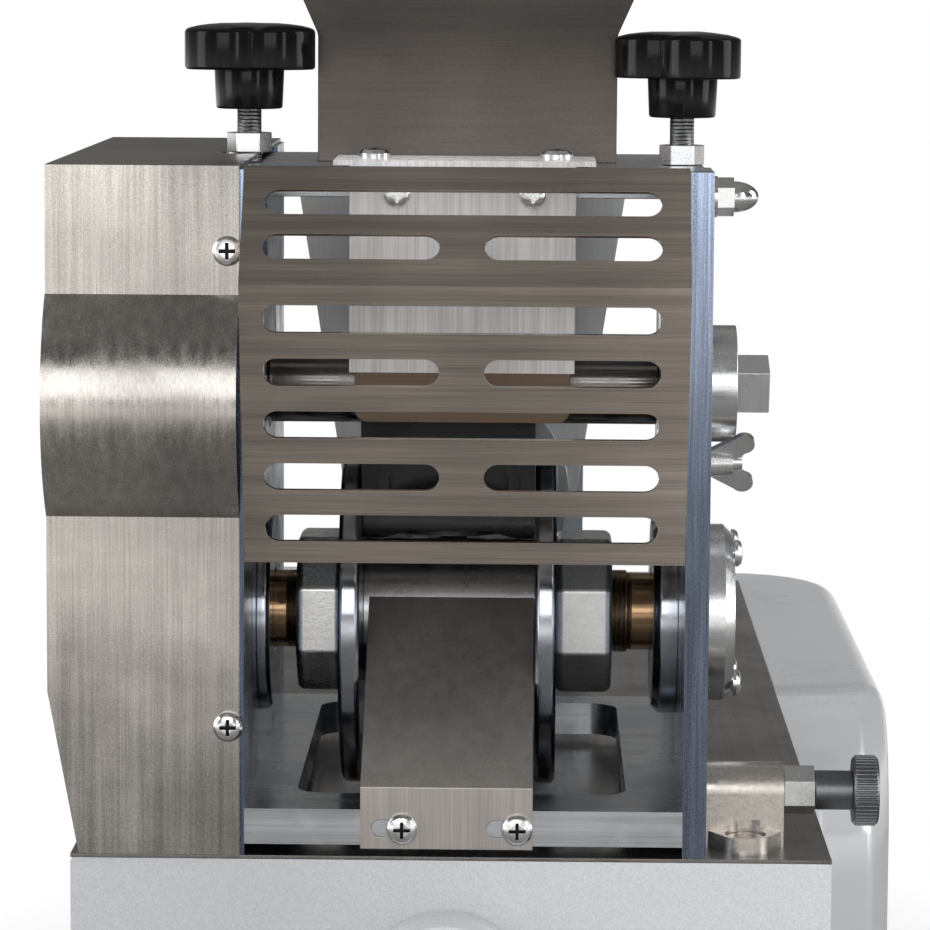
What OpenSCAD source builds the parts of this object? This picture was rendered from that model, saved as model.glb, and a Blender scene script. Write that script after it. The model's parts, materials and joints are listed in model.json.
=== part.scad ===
// Dumpling making machine: a forming head with two rollers on a console.
// X runs to the right, Y to the back and Z up. The origin is on the floor, at the middle
// of the machine's footprint. The front of the console is the plane from which depths are taken.

/* [Console] */
// Width of the console
console_w = 297; // [285:1:320]
// Depth of the painted front part
console_d = 316; // [300:1:340]
// Height of the console from its floor plate to the deck
console_h = 220; // [205:1:260]
// Thickness of the painted sheet
console_t = 2; // [1.5:0.5:3]
// Thickness of the deck sheet
deck_t = 1.5; // [1:0.5:3]
// Height of the rubber feet
foot_h = 30; // [20:1:40]
// Radius of the round boss on the front
boss_r = 33; // [24:1:40]

/* [Rear casing] */
// How far the casing reaches past the console on the right
casing_over = 54.5; // [45:0.5:60]
// Depth of the casing
casing_d = 444; // [430:1:480]
// Radius of the casing's edges
casing_r = 36; // [24:1:42]
// Wall of the casing
casing_t = 4; // [3:0.5:6]

/* [Head frame] */
// Height of the side plates
head_h = 267; // [262:1:275]
// Depth of the side plates
head_d = 250; // [245:1:260]
// Width between the side plates
head_in = 170.7; // [170:0.5:176]
// Thickness of the side plates
plate_t = 9.2; // [8:0.2:12]
// Thickness of the base plate
base_t = 14; // [10:1:16]
// Thickness of the top plate
bridge_t = 10; // [8:1:12]

/* [Rollers] */
// Depth of both roller axes behind the front
axis_back = 110; // [106:1:116]
// Height of the lower axis above the deck
lower_axis_h = 80; // [78:1:82]
// Distance between the roller axes
axis_gap = 95; // [94:0.5:97]
// Width of the die and of the lower roller
die_w = 70; // [64:1:72]
// Gap between the die and the lower roller
nip = 0.8; // [0.4:0.1:1.5]
// Radius of the side discs
disc_r = 71.5; // [66:0.5:72]
// Thickness of the side discs
disc_t = 8.5; // [6:0.5:10]
// Number of dumpling pockets around the die
pockets = 7; // [5:1:8]
// Distance across the flats of the clamp nuts
clamp_nut_af = 64; // [55:1:70]

/* [Gears] */
// Teeth of the lower roller's gear
lower_teeth = 24; // [22:1:26]
// Teeth of the die's gear
upper_teeth = 52; // [50:1:54]
// Teeth of the idler
idler_teeth = 28; // [26:1:30]
// Teeth of the main gear
main_teeth = 40; // [38:1:42]
// Teeth of the drive pinion
pinion_teeth = 20; // [18:1:24]
// Width of the gears
gear_w = 18; // [12:1:20]

/* [Guard] */
// Thickness of the guard's sheet
guard_t = 1.5; // [1:0.1:2]
// Height of the guard's slots
slot_h = 11.2; // [8:0.5:13]
// Length of the long slots
slot_len = 151; // [130:1:155]
// Length of the short slots
short_slot_len = 67; // [50:1:68]

/* [Hopper] */
// Width of the hopper's throat
hopper_w = 123; // [100:1:124]
// Depth of the hopper
hopper_d = 82; // [70:1:83]
// Height of the hopper above the top plate
hopper_h = 135; // [100:1:180]
// Thickness of the hopper's sheet
hopper_t = 1.2; // [1:0.1:2]

/* [Star knobs] */
// Diameter over the lobes
knob_d = 56; // [48:1:56]
// Diameter of the pressure studs
stud_d = 10; // [8:1:10]

/* [Hidden] */

// Clearances: on one body, of a shaft that runs, and between bodies
seat = 0.05;
run = 0.05;
clear = 0.3;
// Overrun of cuts
cut = 1;

// Levels and places shared by several pieces
deck_z = foot_h + console_h;
left_x = -console_w / 2;
right_x = console_w / 2;
casing_right_x = right_x + casing_over;
casing_front_y = console_d;
casing_back_y = console_d + casing_d;
head_x = 4.85;
inner_left_x = head_x - head_in / 2;
inner_right_x = head_x + head_in / 2;
outer_left_x = inner_left_x - plate_t;
outer_right_x = inner_right_x + plate_t;
die_shift = 7.6;
die_x = head_x - die_shift;
die_left_x = die_x - die_w / 2;
die_right_x = die_x + die_w / 2;
lower_z = deck_z + lower_axis_h;
upper_z = lower_z + axis_gap;
head_top_z = deck_z + head_h;
bridge_drop = 2.5;
bridge_top_z = head_top_z - bridge_drop;
bridge_bottom_z = bridge_top_z - bridge_t;

// Gear sizes: the module follows from the distance between the roller axes
gear_mod = 2 * axis_gap / (lower_teeth + upper_teeth);
lower_pitch_r = gear_mod * lower_teeth / 2;
upper_pitch_r = gear_mod * upper_teeth / 2;
idler_pitch_r = gear_mod * idler_teeth / 2;
main_pitch_r = gear_mod * main_teeth / 2;
pinion_pitch_r = gear_mod * pinion_teeth / 2;
roller_r = lower_pitch_r - nip / 2;
die_r = upper_pitch_r - nip / 2;
gear_gap = 20.3;
gear_right_x = outer_left_x - gear_gap;
gear_left_x = gear_right_x - gear_w;

// Directions from each gear to the next, in the side view, from the back towards the top
idler_dir = -25;
main_dir = -90;
pinion_dir = -60;
idler_y = axis_back + (lower_pitch_r + idler_pitch_r) * cos(idler_dir);
idler_z = lower_z + (lower_pitch_r + idler_pitch_r) * sin(idler_dir);
main_y = idler_y + (idler_pitch_r + main_pitch_r) * cos(main_dir);
main_z = idler_z + (idler_pitch_r + main_pitch_r) * sin(main_dir);
pinion_y = main_y + (main_pitch_r + pinion_pitch_r) * cos(pinion_dir);
pinion_z = main_z + (main_pitch_r + pinion_pitch_r) * sin(pinion_dir);

// Colours
paint = [0.72, 0.73, 0.75];
steel = [0.60, 0.60, 0.60];
ground = [0.52, 0.56, 0.62];
dark_steel = [0.32, 0.31, 0.30];
zinc = [0.70, 0.70, 0.66];
bronze = [0.45, 0.33, 0.20];
black = [0.04, 0.04, 0.04];
cast = [0.42, 0.40, 0.36];

// The machine's footprint is centred on the origin
front_reach = 34;
left_reach = 156.8;
mid_x = (casing_right_x - left_reach) / 2;
mid_y = (casing_back_y - front_reach) / 2;
module placed() {
    translate([-mid_x, -mid_y, 0]) children();
}

// A side view outline, drawn in Y and Z, as a plate from x on
module side(x, len) {
    translate([x, 0, 0]) rotate([90, 0, 90]) linear_extrude(len) children();
}

// A front view outline, drawn in X and Z, as a plate from y on
module face(y, len) {
    translate([0, y + len, 0]) rotate([90, 0, 0]) linear_extrude(len) children();
}

// A round bar along X
module bar_x(x0, x1, y, z, r) {
    translate([x0, y, z]) rotate([0, 90, 0]) cylinder(h = x1 - x0, r = r, $fn = 64);
}

// A round bar along Y
module bar_y(y0, y1, x, z, r) {
    translate([x, y0, z]) rotate([-90, 0, 0]) cylinder(h = y1 - y0, r = r, $fn = 64);
}

// A round bar along Z
module bar_z(z0, z1, x, y, r) {
    translate([x, y, z0]) cylinder(h = z1 - z0, r = r, $fn = 64);
}

// A box between two corners
module block(x0, x1, y0, y1, z0, z1) {
    translate([x0, y0, z0]) cube([x1 - x0, y1 - y0, z1 - z0]);
}

// A rectangle between two corners
module rect(a0, a1, b0, b1) {
    translate([a0, b0]) square([a1 - a0, b1 - b0]);
}

// A rectangle with round corners
module round_rect(a0, a1, b0, b1, r) {
    rect(a0 + r, a1 - r, b0, b1);
    rect(a0, a1, b0 + r, b1 - r);
    for (a = [a0 + r, a1 - r], b = [b0 + r, b1 - r]) translate([a, b]) circle(r, $fn = 32);
}

// A slot with round ends
module slot(a0, a1, b0, b1) {
    r = (b1 - b0) / 2;
    rect(a0 + r, a1 - r, b0, b1);
    for (a = [a0 + r, a1 - r]) translate([a, b0 + r]) circle(r, $fn = 32);
}

// A regular prism along X, a corner turned by turn
module prism_x(x0, x1, y, z, across, sides, turn) {
    translate([x0, y, z]) rotate([0, 90, 0]) rotate([0, 0, turn])
        cylinder(h = x1 - x0, r = across / 2 / cos(180 / sides), $fn = sides);
}

// A pan head screw whose head stands on z 0 and whose shank runs down
screw_dome_share = 0.45;
recess_w_share = 0.22;
recess_len_share = 1.1;
recess_d_share = 0.6;
module pan_screw(head_r, head_h, shank_r, shank_len) {
    difference() {
        rotate_extrude($fn = 48) polygon([[0, 0], [head_r, 0], [head_r, head_h * screw_dome_share],
            [head_r * 0.8, head_h * 0.85], [head_r * 0.45, head_h], [0, head_h]]);
        for (a = [0, 90]) rotate([0, 0, a])
            translate([-head_r * recess_len_share / 2, -head_r * recess_w_share / 2,
                head_h * (1 - recess_d_share)])
                cube([head_r * recess_len_share, head_r * recess_w_share, head_h]);
    }
    translate([0, 0, -shank_len]) cylinder(h = shank_len, r = shank_r, $fn = 32);
}

// Gear outline with involute flanks, a tooth centred at angle 0
pressure_angle = 20;
backlash_share = 0.06;
addendum_share = 0.95;
dedendum_share = 1.25;
flank_steps = 3;
function inv_deg(phi) = tan(phi) * 180 / PI - phi;
function half_tooth(z, m, r) = let(pr = m * z / 2, br = pr * cos(pressure_angle))
    90 / z * (1 - backlash_share) + inv_deg(pressure_angle) - inv_deg(acos(min(1, br / r)));
function gear_radius(z, m, s) = m * z / 2 - m * dedendum_share
    + s * m * (dedendum_share + addendum_share) / flank_steps;
function gear_points(z, m) = [for (i = [0:z - 1]) each [
    for (s = [0:flank_steps]) let(r = gear_radius(z, m, s), a = 360 * i / z - half_tooth(z, m, r))
        r * [cos(a), sin(a)],
    for (s = [flank_steps:-1:0]) let(r = gear_radius(z, m, s), a = 360 * i / z + half_tooth(z, m, r))
        r * [cos(a), sin(a)]]];
// Turn of the next gear that puts it in mesh: dir is the way to it, a the first gear's turn
function mesh_turn(dir, a, za, zb) = dir + 180 - za / zb * (a - dir) - 180 / zb;
lower_turn = 90;
upper_turn = mesh_turn(90, lower_turn, lower_teeth, upper_teeth);
idler_turn = mesh_turn(idler_dir, lower_turn, lower_teeth, idler_teeth);
main_turn = mesh_turn(main_dir, idler_turn, idler_teeth, main_teeth);
pinion_turn = mesh_turn(pinion_dir, main_turn, main_teeth, pinion_teeth);
hub_reach = 3;
module spur_gear(y, z, teeth, turn, bore_r, hub_r) {
    difference() {
        union() {
            side(gear_left_x, gear_w) translate([y, z]) rotate(turn)
                polygon(gear_points(teeth, gear_mod));
            bar_x(gear_left_x, gear_right_x + hub_reach, y, z, hub_r);
        }
        bar_x(gear_left_x - cut, gear_right_x + hub_reach + cut, y, z, bore_r);
    }
}

// Console: painted body, open at the back and below
gear_slot_side = 5;
console_flange = 18;
boss_x = -1.5;
boss_z_drop = 54;
boss_reach = 13;
boss_spigot_r = 12;
module console_body() {
    color(paint) placed() difference() {
        face(0, console_d - clear) round_rect(left_x, right_x, foot_h + floor_t, deck_z - deck_t,
            console_t);
        block(left_x + console_t, right_x - console_t, console_t, console_d + cut,
            foot_h, deck_z - deck_t - console_t);
        gear_slot();
        bar_y(-cut, console_t + cut, boss_x, deck_z - boss_z_drop, boss_spigot_r + seat);
        for (x = plunger_screw_xs()) for (y = plunger_screw_ys())
            bar_z(deck_z - plunger_screw_len - cut, deck_z, x, y, plunger_screw_r + seat);
    }
}

// Slot in the deck for the main gear, and the gear's free way
module gear_slot() {
    tip = main_pitch_r + gear_mod + gear_slot_side;
    rise = max(0, deck_z - main_z);
    half = sqrt(max(0, tip * tip - rise * rise)) + gear_slot_side;
    block(gear_left_x - gear_slot_side, gear_right_x + hub_reach + gear_slot_side,
        main_y - half, main_y + half, deck_z - deck_t - console_t - cut, deck_z + cut);
}

deck_back_lap = 40;
module deck_sheet() {
    color(dark_steel) placed() difference() {
        block(left_x, right_x, 0, casing_back_y - deck_back_lap, deck_z - deck_t, deck_z);
        gear_slot();
        for (x = plunger_screw_xs()) for (y = plunger_screw_ys())
            bar_z(deck_z - deck_t - cut, deck_z + cut, x, y, plunger_screw_r + seat);
    }
}

// Rear casing: a smooth shell, open below and towards the console
casing_left_r = 8;
casing_edge_r = 12;
casing_front_r = 80;
casing_back_r = 60;
casing_step = 15;
function casing_front_places() = [for (a = [0:casing_step:90], b = [0:45:90])
    [casing_right_x - casing_r + (casing_r - casing_edge_r) * sin(b),
        casing_front_y + casing_front_r - (casing_front_r - casing_edge_r) * cos(a)
            + (casing_r - casing_edge_r) * (1 - cos(b)) * cos(a),
        deck_z - casing_front_r + (casing_front_r - casing_edge_r) * sin(a)]];
function casing_back_places() = [for (b = [0:casing_step:90])
    [casing_right_x - casing_back_r + (casing_back_r - casing_edge_r) * sin(b),
        casing_back_y - casing_back_r + (casing_back_r - casing_edge_r) * cos(b),
        deck_z - casing_edge_r]];
module casing_form(inset, bottom) {
    hull() {
        for (p = concat(casing_front_places(), casing_back_places())) {
            translate(p) sphere(casing_edge_r - inset, $fn = 24);
            translate([p[0], p[1], bottom]) cylinder(h = casing_edge_r, r = casing_edge_r - inset, $fn = 24);
        }
        for (y = [casing_front_y + casing_left_r, casing_back_y - casing_left_r])
            translate([left_x + casing_left_r, y, bottom])
                cylinder(h = deck_z - inset - bottom, r = casing_left_r - inset, $fn = 32);
    }
}
module rear_casing() {
    color(paint) placed() difference() {
        casing_form(0, foot_h + floor_t);
        casing_form(casing_t, foot_h + floor_t - cut);
        block(left_x - cut, right_x + clear, casing_front_y - cut, casing_back_y - deck_back_lap + clear,
            deck_z - deck_t, deck_z + cut);
        block(left_x + console_t, right_x - console_t, casing_front_y - cut, casing_front_y + casing_r,
            foot_h, deck_z - deck_t - casing_r);
    }
}

// Floor plate that carries the console, the casing, the motor and the lay shaft
floor_t = 4;
floor_inset = 8;
bolt_hole_r = 5.5;
bolt_dx = 240;
bolt_dy = 600;
foot_dx = 210;
foot_dy = 640;
foot_r = 22;
foot_stem_r = 6;
module floor_plate() {
    color(dark_steel) placed() difference() {
        union() {
            block(left_x, right_x, 0, console_d + casing_r, foot_h, foot_h + floor_t);
            translate([0, 0, foot_h]) linear_extrude(floor_t) {
                round_rect(left_x, right_x, casing_front_y, casing_back_y, casing_left_r);
                round_rect(left_x, casing_right_x, casing_front_y, casing_back_y - casing_back_r, casing_r);
                round_rect(left_x, casing_right_x, casing_front_y, casing_back_y, casing_back_r);
            }
        }
        for (x = [-bolt_dx / 2, bolt_dx / 2], y = [-bolt_dy / 2, bolt_dy / 2])
            bar_z(foot_h - cut, foot_h + floor_t + cut, x, casing_back_y / 2 + y, bolt_hole_r);
        for (x = [-foot_dx / 2, foot_dx / 2], y = [-foot_dy / 2, foot_dy / 2])
            bar_z(foot_h - cut, foot_h + floor_t + cut, x, casing_back_y / 2 + y, foot_stem_r + seat);
    }
}

foot_waist_share = 0.8;
foot_lip_share = 0.25;
module rubber_feet() {
    color(black) placed() for (x = [-foot_dx / 2, foot_dx / 2], y = [-foot_dy / 2, foot_dy / 2])
        translate([x, casing_back_y / 2 + y, 0]) {
            rotate_extrude($fn = 48) polygon([[0, 0], [foot_r, 0], [foot_r, foot_h * foot_lip_share],
                [foot_r * foot_waist_share, foot_h], [0, foot_h]]);
            translate([0, 0, foot_h]) cylinder(h = 2 * floor_t, r = foot_stem_r, $fn = 48);
        }
}

boss_lip = 4;
module front_boss() {
    color(paint) placed() translate([boss_x, 0, deck_z - boss_z_drop]) rotate([90, 0, 0]) {
        rotate_extrude($fn = 96) polygon([[0, 0], [boss_r, 0], [boss_r, boss_reach - boss_lip],
            [boss_r - boss_lip, boss_reach], [0, boss_reach]]);
        translate([0, 0, -console_t - boss_lip]) cylinder(h = console_t + boss_lip, r = boss_spigot_r,
            $fn = 64);
    }
}

// Side plates of the head
bridge_front_y = 40;
bridge_back = 44;
bridge_back_y = head_d - bridge_back;
window_w = 60;
window_low = 37;
window_z = upper_z - window_low;
housing_bore_r = 28;
pivot_y = 15;
pivot_drop = 10;
pivot_z = head_top_z - pivot_drop;
pivot_r = 4;
guard_bolt_y = 20;
guard_bolt_h = 153.5;
guard_bolt_z = deck_z + guard_bolt_h;
guard_bolt_r = 3;
frame_bolt_r = 4;
base_gap = 4.5;
base_z = deck_z + base_gap;
base_bolt_front = 70;
base_bolt_back = 45;
base_bolt_ys = [base_bolt_front, head_d - base_bolt_back];
plunger_y = 34;
plunger_h = 21;
plunger_z = deck_z + plunger_h;
pin_r = 4;
pin_in = 4;
cover_screw_low = 51.2;
cover_screw_drop = 31;
cover_screw_zs = [deck_z + cover_screw_low, head_top_z - cover_screw_drop];
cover_screw_r = 2.5;
cover_screw_len = 14;
cover_screw_shift = 3.2;
cover_screw_x = outer_left_x + cover_screw_shift;
cover_head_r = 5.8;
housing_screw_r = 3;
housing_screw_pcr = 31;
housing_screw_tilt = 30;
housing_screw_dirs = [for (a = [90, 270], s = [-1, 1]) a + s * housing_screw_tilt];
module plate_form() {
    difference() {
        rect(0, head_d, deck_z, head_top_z);
        rect(bridge_front_y - seat, bridge_back_y + seat, bridge_bottom_z, head_top_z + cut);
        rect(axis_back - window_w / 2, axis_back + window_w / 2, window_z, head_top_z);
        translate([axis_back, lower_z]) circle(housing_bore_r, $fn = 96);
        translate([pivot_y, pivot_z]) circle(pivot_r + seat, $fn = 48);
        for (y = base_bolt_ys) translate([y, base_z + base_t / 2]) circle(frame_bolt_r + seat, $fn = 48);
        for (a = housing_screw_dirs) translate([axis_back, lower_z] + housing_screw_pcr * [cos(a), sin(a)])
            circle(housing_screw_r + seat, $fn = 32);
    }
}

module left_side_plate() {
    color(ground) placed() difference() {
        side(outer_left_x, plate_t) plate_form();
        bar_x(outer_left_x - cut, inner_left_x + cut, idler_y, idler_z, idler_pin_r + seat);
        for (z = cover_screw_zs) {
            bar_y(-cut, cover_screw_len, cover_screw_x, z, cover_screw_r + seat);
            bar_y(head_d - cover_screw_len, head_d + cut, cover_screw_x, z,
                cover_screw_r + seat);
        }
    }
}

module right_side_plate() {
    color(ground) placed() difference() {
        side(inner_right_x, plate_t) plate_form();
        bar_x(inner_right_x - cut, outer_right_x + cut, guard_bolt_y, guard_bolt_z, guard_bolt_r + seat);
        bar_x(outer_right_x - pin_in - clear, outer_right_x + cut, plunger_y, plunger_z, pin_r + clear);
    }
}

// Base plate of the head, with the opening under the rollers
opening_left = 62;
opening_right = 69;
opening_front_y = 31;
opening_back = 18;
opening_back_y = head_d - opening_back;
opening_r = 12;
chute_screw_r = 3;
chute_screw_len = 12;
frame_bolt_grip = 20;
module head_base_plate() {
    color(steel) placed() difference() {
        translate([0, 0, base_z]) linear_extrude(base_t) difference() {
            rect(inner_left_x, inner_right_x, 0, head_d);
            round_rect(-opening_left, opening_right, opening_front_y, opening_back_y, opening_r);
        }
        for (x = chute_screw_xs()) bar_y(-cut, chute_screw_len, x, chute_screw_z, chute_screw_r + seat);
        for (y = base_bolt_ys) {
            bar_x(inner_left_x - cut, inner_left_x + frame_bolt_grip - plate_t, y, base_z + base_t / 2,
                frame_bolt_r + seat);
            bar_x(inner_right_x - frame_bolt_grip + plate_t, inner_right_x + cut, y, base_z + base_t / 2,
                frame_bolt_r + seat);
        }
    }
}

// Top plate, let into the side plates: it carries the studs and the hopper
stud_left_x = -86;
stud_right_x = 90.7;
stud_r = stud_d / 2;
flour_margin = 12;
module head_top_plate() {
    color(steel) placed() difference() {
        block(outer_left_x, outer_right_x, bridge_front_y, bridge_back_y, bridge_bottom_z, bridge_top_z);
        block(hopper_left_x + flour_margin, hopper_right_x - flour_margin, hopper_y + flour_margin,
            hopper_y + hopper_d - flour_margin, bridge_bottom_z - cut, bridge_top_z + cut);
        for (x = [stud_left_x, stud_right_x])
            bar_z(bridge_bottom_z - cut, bridge_top_z + cut, x, axis_back, stud_r + clear);
        for (x = bracket_screw_xs())
            bar_z(bridge_top_z - bracket_screw_len, bridge_top_z + cut, x, bracket_screw_y,
                bracket_screw_r + seat);
    }
}

// Socket screws that hold the base plate between the side plates
bolt_head_r = 6.5;
bolt_head_h = 8;
socket_af = 6;
module socket_screw_x(x, way, y, z, len) {
    translate([x, y, z]) rotate([0, way * 90, 0]) difference() {
        union() {
            cylinder(h = bolt_head_h, r = bolt_head_r, $fn = 48);
            translate([0, 0, -len]) cylinder(h = len, r = frame_bolt_r, $fn = 48);
        }
        translate([0, 0, bolt_head_h / 2])
            cylinder(h = bolt_head_h, r = socket_af / 2 / cos(30), $fn = 6);
    }
}
module frame_bolts() {
    color(black) placed() for (y = base_bolt_ys) {
        socket_screw_x(outer_right_x, 1, y, base_z + base_t / 2, frame_bolt_grip - seat);
        socket_screw_x(outer_left_x, -1, y, base_z + base_t / 2, frame_bolt_grip - seat);
    }
}

// Gear cover: bent sheet with a bulge in front, drawn in at its lower left
cover_t = 1.5;
cover_bulge = 18;
cover_bulge_low = 133;
cover_bulge_high = 219;
cover_side_x = -left_reach;
cover_foot_x = -145;
cover_taper_h = 64;
cover_lap = 1.6;
cover_foot_gap = clear;
cover_notch_r = 13;
cover_z = deck_z + cover_foot_gap;
cover_top_z = head_top_z + cover_t;
bulge_half = (cover_bulge_high - cover_bulge_low) / 2;
bulge_mid_z = deck_z + (cover_bulge_high + cover_bulge_low) / 2;
bulge_r = (bulge_half * bulge_half + cover_bulge * cover_bulge) / (2 * cover_bulge);
module cover_side_form(t) {
    difference() {
        union() {
            rect(t - cover_t, head_d + cover_t - t, cover_z - (t > 0 ? cut : 0), cover_top_z - t);
            intersection() {
                translate([bulge_r - cover_bulge - cover_t, bulge_mid_z]) circle(bulge_r - t, $fn = 128);
                rect(-2 * cover_bulge, cover_bulge, bulge_mid_z - bulge_half, bulge_mid_z + bulge_half);
            }
        }
    }
}
module cover_front_form(t, right) {
    polygon([[cover_foot_x + t, cover_z - (t > 0 ? cut : 0)], [cover_side_x + t, cover_z + cover_taper_h],
        [cover_side_x + t, cover_top_z - t], [right, cover_top_z - t],
        [right, cover_z - (t > 0 ? cut : 0)]]);
}
module gear_cover() {
    color(steel) placed() difference() {
        intersection() {
            side(cover_side_x, inner_left_x - cover_lap - cover_side_x) cover_side_form(0);
            face(-2 * cover_bulge, head_d + 4 * cover_bulge) cover_front_form(0, inner_left_x);
        }
        intersection() {
            side(cover_side_x, inner_left_x - cover_side_x) cover_side_form(cover_t);
            face(-2 * cover_bulge, head_d + 4 * cover_bulge) cover_front_form(cover_t, inner_left_x + cut);
        }
        bar_z(head_top_z - cut, cover_top_z + cut, stud_left_x, axis_back, cover_notch_r);
        for (z = cover_screw_zs) {
            bar_y(-cover_t - cut, cut, cover_screw_x, z, cover_screw_r + seat);
            bar_y(head_d - cut, head_d + cover_t + cut, cover_screw_x, z,
                cover_screw_r + seat);
        }
    }
}

screw_head_r = 6;
screw_head_h = 4;
module gear_cover_screws() {
    color(zinc) placed() for (z = cover_screw_zs) {
        translate([cover_screw_x, -cover_t, z]) rotate([90, 0, 0])
            pan_screw(cover_head_r, screw_head_h, cover_screw_r, cover_screw_len);
        translate([cover_screw_x, head_d + cover_t, z]) rotate([-90, 0, 0])
            pan_screw(cover_head_r, screw_head_h, cover_screw_r, cover_screw_len);
    }
}

// Guard: a sheet with two folds and seven rows of slots, hung on its two pivot bolts
guard_left_x = inner_left_x + clear;
guard_right_x = inner_right_x - clear;
guard_front = 1;
guard_fold_out = front_reach;
guard_top_up = 1.6;
guard_fold_down = 41.6;
guard_bottom_h = 115.6;
guard_top = [-guard_front, head_top_z + guard_top_up];
guard_fold = [-guard_fold_out, head_top_z - guard_fold_down];
guard_bottom = [-guard_front, deck_z + guard_bottom_h];
guard_back_y = 25;
guard_foot_y = 9;
slot_shift = 1.25;
guard_slot_mid = head_x - slot_shift;
row_first_upper = 16.5;
row_pitch_upper = 20.2;
row_first_lower = 13.6;
row_pitch_lower = 21.6;
guard_hook = 2.2;
function unit(v) = v / norm(v);
function inward(from, to) = unit([from[1] - to[1], to[0] - from[0]]);
upper_in = inward(guard_top, guard_fold);
lower_in = inward(guard_fold, guard_bottom);
fold_in = (upper_in + lower_in) / (1 + upper_in * lower_in);
module guard_slots(from, to, rows, first, pitch, short_rows) {
    right_x = guard_slot_mid + slot_len / 2;
    left_x = guard_slot_mid - slot_len / 2;
    translate([0, from[0], from[1]]) rotate([atan2(to[0] - from[0], from[1] - to[1]) + 90, 0, 0])
        translate([0, 0, -guard_t - cut]) linear_extrude(guard_t + 2 * cut)
            for (i = [0:rows - 1]) translate([0, -first - i * pitch])
                if (short_rows[i] == 1) {
                    slot(left_x, left_x + short_slot_len, -slot_h / 2, slot_h / 2);
                    slot(right_x - short_slot_len, right_x, -slot_h / 2, slot_h / 2);
                } else {
                    slot(left_x, right_x, -slot_h / 2, slot_h / 2);
                }
}
module guard_cheek_form() {
    difference() {
        polygon([guard_top + upper_in * guard_t / 2, guard_fold + fold_in * guard_t / 2,
            guard_bottom + lower_in * guard_t / 2, [guard_foot_y, guard_bottom[1] + guard_t],
            [guard_back_y, guard_bolt_z - 2 * guard_foot_y], [guard_back_y, pivot_z],
            [pivot_y + pivot_drop / 2, guard_top[1] - guard_front]]);
        translate([pivot_y, pivot_z]) circle(pivot_r + run, $fn = 48);
    }
}
module guard_hook_cut() {
    rect(guard_bolt_y, guard_back_y + cut, guard_bolt_z - guard_bolt_r - clear,
        guard_bolt_z + guard_bolt_r + clear + guard_hook);
    translate([guard_bolt_y, guard_bolt_z]) circle(guard_bolt_r + clear, $fn = 48);
}
module guard() {
    color(steel) placed() difference() {
        union() {
            side(guard_left_x, guard_right_x - guard_left_x) polygon([guard_top, guard_fold, guard_bottom,
                guard_bottom + lower_in * guard_t, guard_fold + fold_in * guard_t,
                guard_top + upper_in * guard_t]);
            side(guard_left_x, guard_t) guard_cheek_form();
            side(guard_right_x - guard_t, guard_t) guard_cheek_form();
        }
        guard_slots(guard_top, guard_fold, 2, row_first_upper, row_pitch_upper, [0, 1]);
        guard_slots(guard_fold, guard_bottom, 5, row_first_lower, row_pitch_lower, [0, 1, 0, 1, 0]);
        side(guard_right_x - guard_t - cut, guard_t + 2 * cut) guard_hook_cut();
    }
}

pivot_head_r = 7;
pivot_head_h = 4;
pivot_end = 12;
module guard_pivot_bolts() {
    color(zinc) placed() for (s = [-1, 1]) {
        head_x0 = s > 0 ? guard_right_x - guard_t - clear : guard_left_x + guard_t + clear;
        end_x = s > 0 ? outer_right_x + pivot_end : outer_left_x - pivot_end;
        bar_x(min(head_x0, end_x), max(head_x0, end_x), pivot_y, pivot_z, pivot_r);
        bar_x(min(head_x0, head_x0 - s * pivot_head_h), max(head_x0, head_x0 - s * pivot_head_h),
            pivot_y, pivot_z, pivot_head_r);
    }
}

cap_nut_af = 13;
cap_nut_h = 6.4;
cap_washer_t = 1.6;
cap_washer_r = 8;
cap_dome_r = 6;
cap_dome_h = 9.6;
module cap_nut() {
    difference() {
        union() {
            cylinder(h = cap_washer_t, r = cap_washer_r, $fn = 48);
            cylinder(h = cap_washer_t + cap_nut_h, r = cap_nut_af / 2 / cos(30), $fn = 6);
            translate([0, 0, cap_washer_t + cap_nut_h]) rotate_extrude($fn = 48) intersection() {
                scale([1, cap_dome_h / cap_dome_r]) circle(cap_dome_r, $fn = 48);
                square(cap_dome_h + cap_dome_r);
            }
        }
        translate([0, 0, -cut]) cylinder(h = pivot_end + clear + cut, r = pivot_r + seat, $fn = 48);
    }
}
module cap_nuts() {
    color(zinc) placed() {
        translate([outer_right_x, pivot_y, pivot_z]) rotate([0, 90, 0]) cap_nut();
        translate([outer_left_x, pivot_y, pivot_z]) rotate([0, -90, 0]) cap_nut();
    }
}

// Bolt of the guard's lock and its wing nut
guard_bolt_end = 13;
guard_bolt_head_r = 5;
guard_bolt_head_h = 3;
module guard_bolt() {
    color(zinc) placed() {
        bar_x(guard_right_x - guard_t - clear, outer_right_x + guard_bolt_end, guard_bolt_y, guard_bolt_z,
            guard_bolt_r);
        bar_x(guard_right_x - guard_t - clear - guard_bolt_head_h, guard_right_x - guard_t - clear,
            guard_bolt_y, guard_bolt_z, guard_bolt_head_r);
    }
}

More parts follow.
